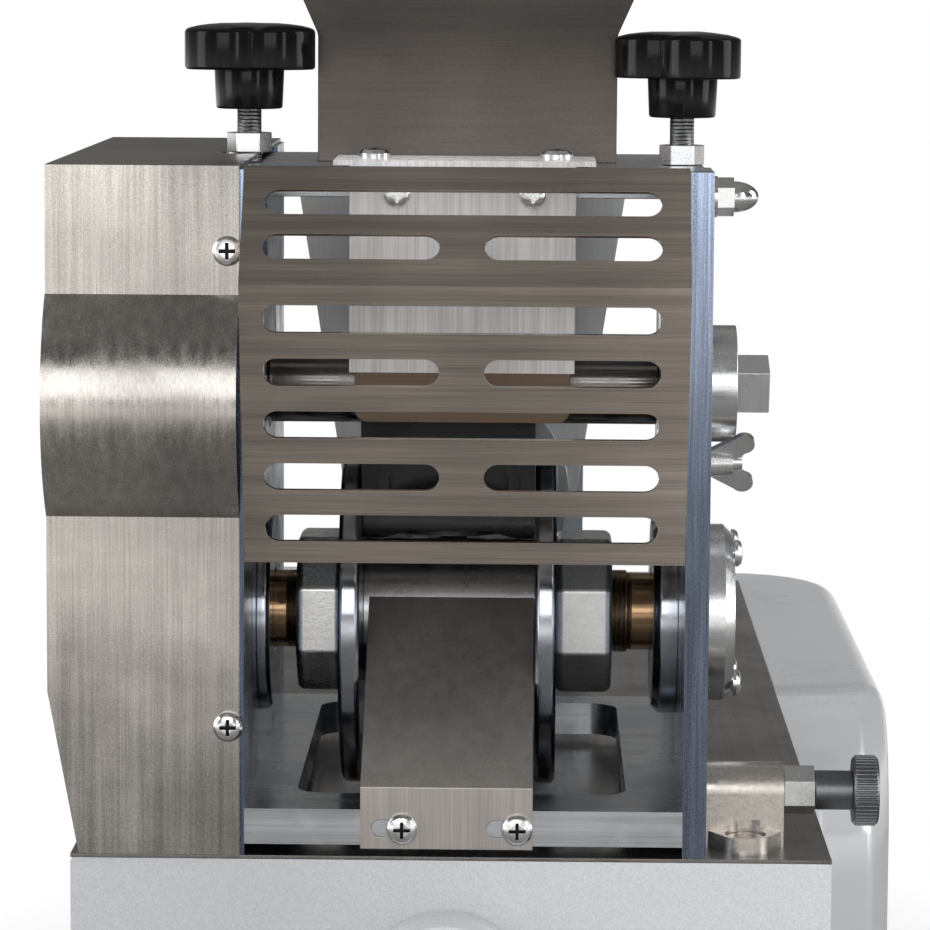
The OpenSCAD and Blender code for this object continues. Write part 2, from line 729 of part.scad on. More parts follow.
wing_hub_r = 6;
wing_hub_h = 9;
wing_t = 2.6;
wing_r = 4.2;
wing_out = 9.3;
wing_up = 13;
wing_turn = 30;
module wing_nut() {
    color(zinc) placed() translate([outer_right_x + clear, guard_bolt_y, guard_bolt_z]) rotate([0, 90, 0])
        rotate([0, 0, wing_turn]) difference() {
            union() {
                cylinder(h = wing_hub_h, r1 = wing_hub_r, r2 = wing_hub_r * 0.8, $fn = 48);
                for (s = [-1, 1]) translate([0, wing_t / 2, 0]) rotate([90, 0, 0]) linear_extrude(wing_t) {
                    polygon([[0, wing_hub_h * 0.3], [s * wing_hub_r, 0],
                        [s * (wing_out + wing_r * 0.7), wing_up - wing_r * 0.7],
                        [s * (wing_out - wing_r * 0.8), wing_up + wing_r * 0.4], [0, wing_hub_h * 0.9]]);
                    translate([s * wing_out, wing_up]) circle(wing_r, $fn = 32);
                }
            }
            translate([0, 0, -cut]) cylinder(h = wing_hub_h + wing_up, r = guard_bolt_r + run, $fn = 48);
        }
}

// Lower shaft with its roller, side discs, clamp nuts and gear
journal_r = 16;
thread_r = 17;
gear_seat_r = 14;
thread_end = 6.3;
left_nut_w = 19;
right_nut_w = 23;
thread_left_x = die_left_x - disc_t - left_nut_w;
thread_right_x = die_right_x + disc_t + right_nut_w + thread_end;
housing_out = 14.3;
housing_cap_t = 4;
shaft_end_gap = 2;
left_housing_out = 14.3;
gear_nut_len = 4;
module lower_shaft() {
    color(bronze) placed() {
        bar_x(thread_left_x, thread_right_x, axis_back, lower_z, thread_r);
        bar_x(outer_left_x - left_housing_out, outer_right_x + housing_out - housing_cap_t - shaft_end_gap,
            axis_back, lower_z, journal_r);
        bar_x(gear_left_x - gear_nut_len, outer_left_x, axis_back, lower_z, gear_seat_r);
    }
}

module lower_roller() {
    color(steel) placed() difference() {
        bar_x(die_left_x, die_right_x, axis_back, lower_z, roller_r);
        bar_x(die_left_x - cut, die_right_x + cut, axis_back, lower_z, thread_r + seat);
    }
}

disc_chamfer = 1.5;
module side_disc(x) {
    difference() {
        translate([x, axis_back, lower_z]) rotate([0, 90, 0]) rotate_extrude($fn = 128)
            polygon([[0, 0], [disc_r - disc_chamfer, 0], [disc_r, disc_chamfer],
                [disc_r, disc_t - disc_chamfer], [disc_r - disc_chamfer, disc_t], [0, disc_t]]);
        bar_x(x - cut, x + disc_t + cut, axis_back, lower_z, thread_r + seat);
    }
}
module left_side_disc() {
    color(ground) placed() side_disc(die_left_x - disc_t);
}
module right_side_disc() {
    color(ground) placed() side_disc(die_right_x);
}

nut_sides = 8;
nut_chamfer = 2;
module clamp_nut(x, nut_w) {
    corner_r = clamp_nut_af / 2 / cos(180 / nut_sides);
    difference() {
        translate([x, axis_back, lower_z]) rotate([0, 90, 0]) rotate([0, 0, 180 / nut_sides]) {
            cylinder(h = nut_chamfer, r1 = corner_r - nut_chamfer, r2 = corner_r, $fn = nut_sides);
            translate([0, 0, nut_chamfer])
                cylinder(h = nut_w - 2 * nut_chamfer, r = corner_r, $fn = nut_sides);
            translate([0, 0, nut_w - nut_chamfer])
                cylinder(h = nut_chamfer, r1 = corner_r, r2 = corner_r - nut_chamfer, $fn = nut_sides);
        }
        bar_x(x - cut, x + nut_w + cut, axis_back, lower_z, thread_r + seat);
    }
}
module clamp_nuts() {
    color(zinc) placed() {
        clamp_nut(die_left_x - disc_t - left_nut_w, left_nut_w);
        clamp_nut(die_right_x + disc_t, right_nut_w);
    }
}

lower_hub_r = 21;
upper_hub_r = 26;
module lower_gear() {
    color(cast) placed() spur_gear(axis_back, lower_z, lower_teeth, lower_turn, gear_seat_r + seat,
        lower_hub_r);
}

// Bearings of the lower shaft
flange_r = 42;
flange_t_left = 5.2;
flange_t_right = 10;
flange_chamfer = 3;
flange_hole_gap = 1;
bush_r = 20;
bush_len = 21;
housing_r = 36.5;
module flange_ring(t, chamfer) {
    difference() {
        rotate_extrude($fn = 96) polygon([[0, 0], [flange_r, 0], [flange_r, t - chamfer],
            [flange_r - chamfer, t], [0, t]]);
        translate([0, 0, -cut]) cylinder(h = t + 2 * cut, r = journal_r + flange_hole_gap, $fn = 96);
        for (a = housing_screw_dirs) translate(housing_screw_pcr * [sin(a), cos(a), 0] + [0, 0, -cut])
            cylinder(h = cut + t / 2, r = housing_screw_r + seat, $fn = 32);
    }
}
module inner_flanges() {
    color(ground) placed() {
        translate([inner_right_x, axis_back, lower_z]) rotate([0, -90, 0])
            flange_ring(flange_t_right, flange_chamfer);
        translate([inner_left_x, axis_back, lower_z]) rotate([0, 90, 0])
            flange_ring(flange_t_left, flange_chamfer / 2);
    }
}

housing_chamfer = 4;
module housing(out, cap) {
    difference() {
        union() {
            rotate_extrude($fn = 96) polygon([[0, 0], [housing_r, 0], [housing_r, out - housing_chamfer],
                [housing_r - housing_chamfer, out], [0, out]]);
            translate([0, 0, -plate_t]) cylinder(h = plate_t, r = housing_bore_r - seat, $fn = 96);
        }
        translate([0, 0, -plate_t - cut]) cylinder(h = plate_t + cut + out - cap, r = bush_r + seat,
            $fn = 96);
        if (cap == 0) cylinder(h = out + cut, r = bush_r + seat, $fn = 96);
        for (a = housing_screw_dirs) translate(housing_screw_pcr * [sin(a), cos(a), 0] + [0, 0, -cut])
            cylinder(h = out + 2 * cut, r = housing_screw_r + seat, $fn = 32);
    }
}
module bearing_housings() {
    color(zinc) placed() {
        translate([outer_right_x, axis_back, lower_z]) rotate([0, 90, 0]) housing(housing_out,
            housing_cap_t);
        translate([outer_left_x, axis_back, lower_z]) rotate([0, -90, 0]) housing(left_housing_out, 0);
    }
}

module bush_x(x0, x1, z, r_out, r_in) {
    difference() {
        bar_x(x0, x1, axis_back, z, r_out);
        bar_x(x0 - cut, x1 + cut, axis_back, z, r_in);
    }
}
module lower_bushes() {
    color(bronze) placed() {
        bush_x(inner_right_x, inner_right_x + bush_len - shaft_end_gap, lower_z, bush_r, journal_r + run);
        bush_x(inner_left_x - bush_len, inner_left_x, lower_z, bush_r, journal_r + run);
    }
}

dome_head_r = 5.5;
dome_head_h = 3.3;
screw_into = 2;
module housing_screws() {
    color(zinc) placed() for (a = housing_screw_dirs) {
        translate([outer_right_x + housing_out, axis_back, lower_z] + housing_screw_pcr * [0, cos(a),
            sin(a)])
            rotate([0, 90, 0]) pan_screw(dome_head_r, dome_head_h, housing_screw_r,
                housing_out + plate_t + screw_into);
        translate([outer_left_x - left_housing_out, axis_back, lower_z] + housing_screw_pcr * [0,
            cos(a), sin(a)])
            rotate([0, -90, 0]) pan_screw(dome_head_r, dome_head_h, housing_screw_r,
                left_housing_out + plate_t + screw_into);
    }
}

// Upper shaft with the die and its gear
upper_r = 17;
upper_journal_r = 15;
square_side = 18;
square_out = 13.8;
square_turn = 20;
block_t = 17.2;
left_block_x = stud_left_x - block_t / 2;
right_block_x = stud_right_x - block_t / 2;
block_boss_out = 14.5;
shaft_shoulder = 0.5;
module upper_shaft() {
    boss_x = right_block_x + block_t + block_boss_out;
    color(dark_steel) placed() {
        bar_x(left_block_x + block_t + shaft_shoulder, right_block_x - shaft_shoulder, axis_back,
            upper_z, upper_r);
        bar_x(left_block_x - block_boss_out / 2, boss_x + clear, axis_back, upper_z, upper_journal_r);
        bar_x(gear_left_x - gear_nut_len, left_block_x, axis_back, upper_z, gear_seat_r);
        translate([boss_x, axis_back, upper_z]) rotate([square_turn, 0, 0])
            translate([0, -square_side / 2, -square_side / 2]) cube([square_out, square_side,
                square_side]);
    }
}

die_side_gap = 0.4;
pocket_r = 29;
pocket_back_r = 38;
pocket_back = 5;
pocket_d = 7;
pocket_floor_r = 24;
pocket_step = 3;
die_phase = 0.35;
module pocket_form(r, inset) {
    difference() {
        circle(r, $fn = 64);
        translate([0, -pocket_back_r - pocket_back + inset]) circle(pocket_back_r, $fn = 64);
    }
}
module die_roller() {
    color(black) placed() difference() {
        bar_x(die_left_x + die_side_gap, die_right_x - die_side_gap, axis_back, upper_z, die_r);
        bar_x(die_left_x - cut, die_right_x + cut, axis_back, upper_z, upper_r + seat);
        translate([die_x, axis_back, upper_z]) for (i = [0:pockets - 1])
            rotate([(i + die_phase) * 360 / pockets, 0, 0]) {
                translate([0, 0, die_r - pocket_step]) linear_extrude(pocket_step + cut)
                    translate([0, -pocket_back]) pocket_form(pocket_r, 0);
                translate([0, 0, die_r - pocket_d]) linear_extrude(pocket_d)
                    translate([0, -pocket_back]) pocket_form(pocket_floor_r, pocket_step);
            }
    }
}

module upper_gear() {
    color(cast) placed() spur_gear(axis_back, upper_z, upper_teeth, upper_turn, gear_seat_r + seat,
        upper_hub_r);
}

// Bearing blocks that slide in the side plates' windows
block_h = 76.5;
block_r = 24;
block_lip = 6;
block_lip_t = 2.8;
stud_collar_r = 8;
stud_collar_h = 5;
stud_neck_r = 5.3;
block_top_z = window_z + clear + block_h;
upper_bush_r = 19;
module bearing_block(x, stud_x) {
    difference() {
        block(x, x + block_t, axis_back - window_w / 2 + clear, axis_back + window_w / 2 - clear,
            window_z + clear, block_top_z);
        bar_x(x - cut, x + block_t + cut, axis_back, upper_z, upper_bush_r + seat);
        bar_z(block_top_z - 2 * stud_collar_h, block_top_z - stud_collar_h, stud_x, axis_back,
            stud_collar_r + clear);
        bar_z(block_top_z - 2 * stud_collar_h, block_top_z + cut, stud_x, axis_back, stud_neck_r);
    }
}
module block_lips(x0, x1) {
    for (s = [-1, 1]) block(x0, x1,
        s > 0 ? axis_back + window_w / 2 - clear : axis_back - window_w / 2 - block_lip,
        s > 0 ? axis_back + window_w / 2 + block_lip : axis_back - window_w / 2 + clear,
        window_z + block_lip, block_top_z);
}
module right_bearing_block() {
    color(zinc) placed() {
        bearing_block(right_block_x, stud_right_x);
        block_lips(inner_right_x - clear - block_lip_t, inner_right_x - clear);
        difference() {
            bar_x(right_block_x + block_t, right_block_x + block_t + block_boss_out, axis_back,
                upper_z, block_r);
            bar_x(right_block_x + block_t - cut, right_block_x + block_t + block_boss_out + cut,
                axis_back, upper_z, upper_journal_r + clear);
        }
    }
}
module left_bearing_block() {
    color(zinc) placed() {
        bearing_block(left_block_x, stud_left_x);
        block_lips(inner_left_x + clear, inner_left_x + clear + block_lip_t);
    }
}

module upper_bushes() {
    color(bronze) placed() for (x = [left_block_x, right_block_x])
        bush_x(x, x + block_t, upper_z, upper_bush_r, upper_journal_r + run);
}

// Pressure studs, their lock nuts and star knobs
left_raise = 2.5;
hub_up = 22;
hub_h = 16;
hub_r = 14.5;
lobe_h = 16;
knob_dome_h = 2.8;
lobes = 3;
lobe_r = 17;
knob_core_r = 20.4;
hub_bottom_z = bridge_top_z + hub_up - left_raise;
lock_nut_af = 16;
lock_nut_h = 8;
lock_nut_z = bridge_top_z + clear;
stud_into = 12;
module pressure_stud(x, lift) {
    bar_z(block_top_z - stud_collar_h - clear, hub_bottom_z + lift + stud_into, x, axis_back,
        stud_r - seat);
    bar_z(block_top_z - 2 * stud_collar_h + clear, block_top_z - stud_collar_h - clear, x, axis_back,
        stud_collar_r);
}
module left_pressure_stud() {
    color(zinc) placed() pressure_stud(stud_left_x, left_raise);
}
module right_pressure_stud() {
    color(zinc) placed() pressure_stud(stud_right_x, 0);
}

module lock_nut(x, z) {
    difference() {
        translate([x, axis_back, z]) cylinder(h = lock_nut_h, r = lock_nut_af / 2 / cos(30), $fn = 6);
        bar_z(z - cut, z + lock_nut_h + cut, x, axis_back, stud_r + seat);
    }
}
left_nut_lift = 4;
module left_lock_nut() {
    color(zinc) placed() lock_nut(stud_left_x, lock_nut_z + left_nut_lift);
}
module right_lock_nut() {
    color(zinc) placed() lock_nut(stud_right_x, lock_nut_z);
}

module star_form() {
    circle(knob_core_r, $fn = 96);
    for (i = [0:lobes - 1]) rotate(i * 360 / lobes) translate([knob_d / 2 - lobe_r, 0])
        circle(lobe_r, $fn = 96);
}
knob_top_h = hub_h + lobe_h;
module star_knob(x, lift, turn) {
    translate([x, axis_back, hub_bottom_z + lift]) rotate([0, 0, turn]) difference() {
        union() {
            cylinder(h = hub_h, r1 = hub_r * 0.95, r2 = hub_r, $fn = 64);
            translate([0, 0, hub_h]) linear_extrude(lobe_h) star_form();
            translate([0, 0, knob_top_h]) rotate_extrude($fn = 64)
                polygon([[0, 0], [knob_core_r, 0], [knob_core_r * 0.8, knob_dome_h * 0.5],
                    [knob_core_r * 0.45, knob_dome_h * 0.85], [0, knob_dome_h]]);
        }
        translate([0, 0, -cut]) cylinder(h = stud_into + clear + cut, r = stud_r, $fn = 48);
    }
}
left_knob_turn = 90;
right_knob_turn = 64;
module left_star_knob() {
    color(black) placed() star_knob(stud_left_x, left_raise, left_knob_turn);
}
module right_star_knob() {
    color(black) placed() star_knob(stud_right_x, 0, right_knob_turn);
}

// Hopper: a flat throat whose side walls flare out above
hopper_mid_x = 2.85;
hopper_left_x = hopper_mid_x - hopper_w / 2;
hopper_right_x = hopper_mid_x + hopper_w / 2;
hopper_y = 122;
flare_h = 50.5;
flare_r = 8;
flare_angle = 24;
hopper_top_z = bridge_top_z + hopper_h;
function flare_points(t) = let(
    bend = [for (a = [0:6:flare_angle]) [flare_r * (1 - cos(a)), flare_h + flare_r * sin(a)]],
    last = bend[len(bend) - 1], rest = hopper_h - last[1])
    [for (p = concat(bend, [[last[0] + rest * tan(flare_angle), hopper_h]])) p - [t, 0]];
module hopper_form(t, lift) {
    half = hopper_w / 2;
    right_pts = flare_points(t);
    polygon(concat([[-half + t, -lift]], [for (p = right_pts) [-half - p[0],
        p[1] + (p[1] >= hopper_h ? lift : 0)]],
        [for (i = [len(right_pts) - 1:-1:0]) let(p = right_pts[i]) [half + p[0],
            p[1] + (p[1] >= hopper_h ? lift : 0)]],
        [[half - t, -lift]]));
}
module hopper() {
    color(steel) placed() translate([hopper_mid_x, 0, bridge_top_z]) difference() {
        face(hopper_y, hopper_d) hopper_form(0, 0);
        face(hopper_y + hopper_t, hopper_d - 2 * hopper_t) hopper_form(hopper_t, cut);
    }
}

// Sheet that is screwed on in front of the hopper and hangs before the die
sheet_t = 2;
bracket_lift = 3.2;
bracket_w = 101.8;
bracket_x = 3.5;
hang_w = 87.8;
hang_x = 2.9;
hang_y = 22.5;
hang_low = 437.2;
hang_bottom_z = deck_z + hang_low - console_h - foot_h;
rest_y = 72;
joggle = 6;
bracket_screw_y = 48;
bracket_screw_r = 3;
bracket_screw_len = 12;
bracket_screw_dx = 71.6;
face_screw_dx = 52.7;
face_screw_x = 3.75;
face_screw_drop = 10.3;
face_screw_z = head_top_z - face_screw_drop;
function bracket_screw_xs() = [bracket_x - bracket_screw_dx / 2, bracket_x + bracket_screw_dx / 2];
function face_screw_xs() = [face_screw_x - face_screw_dx / 2, face_screw_x + face_screw_dx / 2];
module die_cover_sheet() {
    flat_z = bridge_top_z + bracket_lift;
    color(steel) placed() difference() {
        union() {
            side(bracket_x - bracket_w / 2, bracket_w) polygon([[hang_y, flat_z], [hang_y,
                flat_z + sheet_t],
                [rest_y - joggle, flat_z + sheet_t], [rest_y, bridge_top_z + sheet_t],
                [hopper_y - clear, bridge_top_z + sheet_t], [hopper_y - clear, bridge_top_z],
                [rest_y, bridge_top_z], [rest_y - joggle, flat_z]]);
            block(hang_x - hang_w / 2, hang_x + hang_w / 2, hang_y, hang_y + sheet_t, hang_bottom_z,
                flat_z + sheet_t);
        }
        for (x = bracket_screw_xs()) bar_z(flat_z - cut, flat_z + sheet_t + cut, x, bracket_screw_y,
            bracket_screw_r + seat);
        for (x = face_screw_xs()) bar_y(hang_y - cut, hang_y + sheet_t + cut, x, face_screw_z,
            bracket_screw_r + seat);
    }
}

spacer_r = 6;
bracket_head_r = 6.5;
bracket_head_h = 3.8;
face_screw_len = 5;
module bracket_screws() {
    color(zinc) placed() {
        for (x = bracket_screw_xs()) translate([x, bracket_screw_y, 0]) {
            translate([0, 0, bridge_top_z + bracket_lift + sheet_t])
                pan_screw(bracket_head_r, bracket_head_h, bracket_screw_r, bracket_screw_len);
            translate([0, 0, bridge_top_z]) cylinder(h = bracket_lift, r = spacer_r, $fn = 48);
        }
        for (x = face_screw_xs()) translate([x, hang_y, face_screw_z]) rotate([90, 0, 0])
            pan_screw(dome_head_r, dome_head_h, bracket_screw_r, face_screw_len);
    }
}

wiper_w = 84.2;
wiper_x = 3.1;
wiper_below = 19.6;
wiper_lap = 10;
wiper_gap = 0.4;
wiper_corner_r = 5;
module die_wiper() {
    back_y = axis_back - die_r - wiper_gap;
    color([0.30, 0.22, 0.15]) placed() face(hang_y + sheet_t, back_y - hang_y - sheet_t)
        round_rect(wiper_x - wiper_w / 2, wiper_x + wiper_w / 2, hang_bottom_z - wiper_below,
            hang_bottom_z + wiper_lap, wiper_corner_r);
}

// Chute: from the lower roller down to the base plate's front
chute_t = 1.5;
chute_w = 67.1;
chute_x = -1.65;
chute_top_y = 80;
chute_top_h = 90;
chute_fold_h = 27;
chute_foot_h = 3.2;
chute_screw_h = 11.4;
chute_screw_z = deck_z + chute_screw_h;
chute_screw_dx = 44.8;
chute_slot_left = 12;
chute_screw_mid = 3.5;
function chute_screw_xs() = [chute_screw_mid - chute_screw_dx / 2, chute_screw_mid + chute_screw_dx / 2];
module chute_plate() {
    color(steel) placed() difference() {
        side(chute_x - chute_w / 2, chute_w) polygon([[0, deck_z + chute_foot_h], [0,
            deck_z + chute_fold_h - chute_t],
            [chute_top_y + chute_t / 2, deck_z + chute_top_h - chute_t], [chute_top_y,
                deck_z + chute_top_h],
            [-chute_t, deck_z + chute_fold_h + chute_t / 2], [-chute_t, deck_z + chute_foot_h]]);
        face(-2 * chute_t, 3 * chute_t) for (x = chute_screw_xs())
            slot(x - chute_slot_left, x + chute_screw_r + clear, chute_screw_z - chute_screw_r - clear,
                chute_screw_z + chute_screw_r + clear);
    }
}

module chute_screws() {
    color(zinc) placed() for (x = chute_screw_xs()) translate([x, -chute_t, chute_screw_z]) rotate([90,
        0, 0])
        pan_screw(screw_head_r, screw_head_h, chute_screw_r, chute_screw_len);
}

// Index plunger that locks the head on the console
bracket_gap = 0.9;
plunger_bracket_x = outer_right_x + bracket_gap;
plunger_bracket_len = 30.7;
plunger_barrel_r = 11;
plunger_block_w = 22;
plunger_flange_t = 6.5;
plunger_flange_r = 10;
plunger_flange_dy = 33;
plunger_neck = 3;
plunger_screw_r = 4;
plunger_screw_head_r = 7.2;
plunger_screw_head_h = 1.2;
plunger_recess_r = 8.2;
plunger_recess_d = 1.6;
plunger_screw_len = 10;
plunger_thread_r = 8;
plunger_flange_x = plunger_bracket_x + plunger_bracket_len / 2;
function plunger_screw_xs() = [plunger_flange_x];
function plunger_screw_ys() = [plunger_y - plunger_flange_dy / 2, plunger_y + plunger_flange_dy / 2];
module plunger_flange_form(way) {
    y = way * plunger_flange_dy / 2;
    translate([0, y]) circle(plunger_flange_r, $fn = 64);
    polygon([[-plunger_bracket_len / 2, 0],
        [-plunger_bracket_len / 2, y - way * plunger_flange_r + way * plunger_neck],
        [-plunger_flange_r + plunger_neck / 2, y + way * plunger_flange_r / 2],
        [plunger_flange_r - plunger_neck / 2, y + way * plunger_flange_r / 2],
        [plunger_bracket_len / 2, y - way * plunger_flange_r + way * plunger_neck],
        [plunger_bracket_len / 2, 0]]);
}
module plunger_bracket() {
    x1 = plunger_bracket_x + plunger_bracket_len;
    color(cast) placed() {
        difference() {
            union() {
                bar_x(plunger_bracket_x, x1, plunger_y, plunger_z, plunger_barrel_r);
                block(plunger_bracket_x, x1, plunger_y - plunger_barrel_r, plunger_y + plunger_barrel_r,
                    deck_z, plunger_z);
                for (way = [-1, 1]) translate([plunger_flange_x, plunger_y, deck_z])
                    linear_extrude(plunger_flange_t) plunger_flange_form(way);
            }
            bar_x(plunger_bracket_x - cut, x1 + cut, plunger_y, plunger_z, plunger_thread_r + seat);
            for (y = plunger_screw_ys()) {
                bar_z(deck_z - cut, deck_z + plunger_flange_t + cut, plunger_flange_x, y,
                    plunger_screw_r + seat);
                bar_z(deck_z + plunger_flange_t - plunger_recess_d, deck_z + plunger_barrel_r,
                    plunger_flange_x, y, plunger_recess_r);
            }
        }
        for (y = plunger_screw_ys())
            translate([plunger_flange_x, y, deck_z + plunger_flange_t - plunger_recess_d])
                pan_screw(plunger_screw_head_r, plunger_screw_head_h, plunger_screw_r,
                    plunger_screw_len + plunger_flange_t);
    }
}

plunger_hex_af = 17;
plunger_hex_len = 12.4;
spring_chamber_r = 6.5;
spring_chamber_len = 22;
chamber_wall = 4;
module plunger_body() {
    x1 = plunger_bracket_x + plunger_bracket_len;
    color(zinc) placed() difference() {
        union() {
            bar_x(plunger_bracket_x, x1 + plunger_hex_len, plunger_y, plunger_z, plunger_thread_r);
            prism_x(x1 + clear, x1 + plunger_hex_len, plunger_y, plunger_z, plunger_hex_af, 6, 0);
        }
        bar_x(plunger_bracket_x - cut, x1 + plunger_hex_len + cut, plunger_y, plunger_z, pin_r + run);
        bar_x(plunger_bracket_x + chamber_wall, plunger_bracket_x + chamber_wall + spring_chamber_len,
            plunger_y, plunger_z, spring_chamber_r);
    }
}

sleeve_r = 7.8;
sleeve_len = 15.2;
knurl_r = 14;
knurl_w = 10;
knurls = 48;
knurl_cut_r = 0.6;
knurl_chamfer = 1.2;
pin_collar_t = 2.5;
module plunger_pin() {
    x1 = plunger_bracket_x + plunger_bracket_len + plunger_hex_len;
    collar_x = plunger_bracket_x + chamber_wall + clear;
    color(ground) placed() {
        bar_x(outer_right_x - pin_in, x1 + sleeve_len, plunger_y, plunger_z, pin_r);
        bar_x(x1 + clear, x1 + sleeve_len, plunger_y, plunger_z, sleeve_r);
        bar_x(collar_x, collar_x + pin_collar_t, plunger_y, plunger_z, spring_chamber_r - clear);
    }
}
module plunger_knob() {
    x0 = plunger_bracket_x + plunger_bracket_len + plunger_hex_len + sleeve_len;
    color(black) placed() difference() {
        translate([x0, plunger_y, plunger_z]) rotate([0, 90, 0]) rotate_extrude($fn = 96)
            polygon([[0, 0], [knurl_r - knurl_chamfer, 0], [knurl_r, knurl_chamfer],
                [knurl_r, knurl_w - knurl_chamfer], [knurl_r - knurl_chamfer, knurl_w], [0, knurl_w]]);
        for (i = [0:knurls - 1]) translate([0, plunger_y + knurl_r * cos(i * 360 / knurls),
            plunger_z + knurl_r * sin(i * 360 / knurls)])
            bar_x(x0 - cut, x0 + knurl_w + cut, 0, 0, knurl_cut_r);
    }
}
spring_wall = 1.2;
pin_travel = 8;
module plunger_spring() {
    x0 = plunger_bracket_x + chamber_wall + clear + pin_collar_t + clear;
    x1 = plunger_bracket_x + chamber_wall + spring_chamber_len - pin_travel - 2 * clear;
    color(zinc) placed() difference() {
        bar_x(x0, x1, plunger_y, plunger_z, pin_r + clear + spring_wall);
        bar_x(x0 - cut, x1 + cut, plunger_y, plunger_z, pin_r + clear);
    }
}

// Drive below and beside the head
idler_pin_r = 10;
idler_pin_head_r = 14;
idler_pin_head_t = 3;
idler_hub_r = 18;
module idler_gear() {
    color(cast) placed() spur_gear(idler_y, idler_z, idler_teeth, idler_turn, idler_pin_r + run,
        idler_hub_r);
}
module idler_pin() {
    color(ground) placed() {
        bar_x(gear_left_x - gear_nut_len, inner_left_x - seat, idler_y, idler_z, idler_pin_r);
        bar_x(gear_left_x - gear_nut_len - idler_pin_head_t, gear_left_x - clear, idler_y, idler_z,
            idler_pin_head_r);
        bar_x(gear_right_x + hub_reach + clear, outer_left_x, idler_y, idler_z, idler_pin_head_r);
    }
}

lay_r = 12;
lay_len = 70;
main_hub_r = 22;
module main_gear() {
    color(cast) placed() {
        spur_gear(main_y, main_z, main_teeth, main_turn, lay_r - seat, main_hub_r);
        bar_x(gear_left_x - gear_nut_len, gear_right_x + lay_len, main_y, main_z, lay_r);
    }
}

carrier_t = 20;
carrier_w = 60;
carrier_gap = 14;
carrier_top = 26;
module lay_shaft_carrier() {
    color(cast) placed() for (x = [gear_right_x + carrier_gap, gear_right_x + lay_len - carrier_t])
        difference() {
            union() {
                block(x, x + carrier_t, main_y - carrier_w / 2, main_y + carrier_w / 2 - pinion_pitch_r,
                    foot_h + floor_t, main_z);
                bar_x(x, x + carrier_t, main_y, main_z, carrier_top);
            }
            bar_x(x - cut, x + carrier_t + cut, main_y, main_z, lay_r + run);
            bar_x(x - cut, x + carrier_t + cut, pinion_y, pinion_z, pinion_hub_r + gear_mod);
        }
}

pinion_hub_r = 15;
pinion_shaft_r = 9;
reducer_x = -30;
module drive_pinion() {
    color(cast) placed() {
        spur_gear(pinion_y, pinion_z, pinion_teeth, pinion_turn, pinion_shaft_r - seat, pinion_hub_r);
        bar_x(gear_left_x - gear_nut_len, reducer_x + cut, pinion_y, pinion_z, pinion_shaft_r);
    }
}

reducer_w = 90;
reducer_deep = 110;
reducer_h = 110;
motor_r = 62;
motor_len = 220;
motor_face_t = 10;
fins = 20;
fin_t = 3;
fin_out = 5;
module reducer_motor() {
    x0 = reducer_x;
    x1 = reducer_x + reducer_w;
    y0 = pinion_y - reducer_deep / 2;
    y1 = pinion_y + reducer_deep / 2;
    motor_x = (x0 + x1) / 2;
    color([0.35, 0.37, 0.40]) placed() difference() {
        union() {
            block(x0, x1, y0, y1, foot_h + floor_t, pinion_z + reducer_h / 2);
            bar_y(y1, y1 + motor_len, motor_x, pinion_z - reducer_h / 4, motor_r);
            for (i = [0:fins - 1]) translate([motor_x, y1 + motor_face_t, pinion_z - reducer_h / 4])
                rotate([0, i * 360 / fins, 0])
                    translate([-fin_t / 2, 0, 0]) cube([fin_t, motor_len - 2 * motor_face_t,
                        motor_r + fin_out]);
            block(motor_x - motor_r / 2, motor_x + motor_r / 2, y1 + motor_face_t, y1 + motor_len / 2,
                foot_h + floor_t, pinion_z - reducer_h / 4);
        }
        bar_x(x0 - cut, x0 + reducer_w / 2, pinion_y, pinion_z, pinion_shaft_r + run);
    }
}

// Dough extruder behind the head, hidden by it in the photograph
barrel_x = die_x;
barrel_up = 110;
barrel_z = deck_z + barrel_up;
barrel_r = 44;
barrel_wall = 6;
barrel_gap = 16;
barrel_len = 254;
barrel_front_y = head_d + barrel_gap;
barrel_back_y = barrel_front_y + barrel_len;
end_flange_r = 50;
end_flange_t = 12;
nozzle_gap = 62;
nozzle_tip_y = axis_back + nozzle_gap;
nozzle_tip_r = 14;
nozzle_root_r = 30;
nozzle_wall = 4;
inlet_low_w = 108;
inlet_top_w = 156;
inlet_front = 74;
inlet_len = 120;
inlet_y0 = barrel_front_y + inlet_front;
inlet_y1 = inlet_y0 + inlet_len;
inlet_up = 142;
inlet_down = 14;
inlet_wall = 3;
saddle_t = 16;
saddle_w = 80;
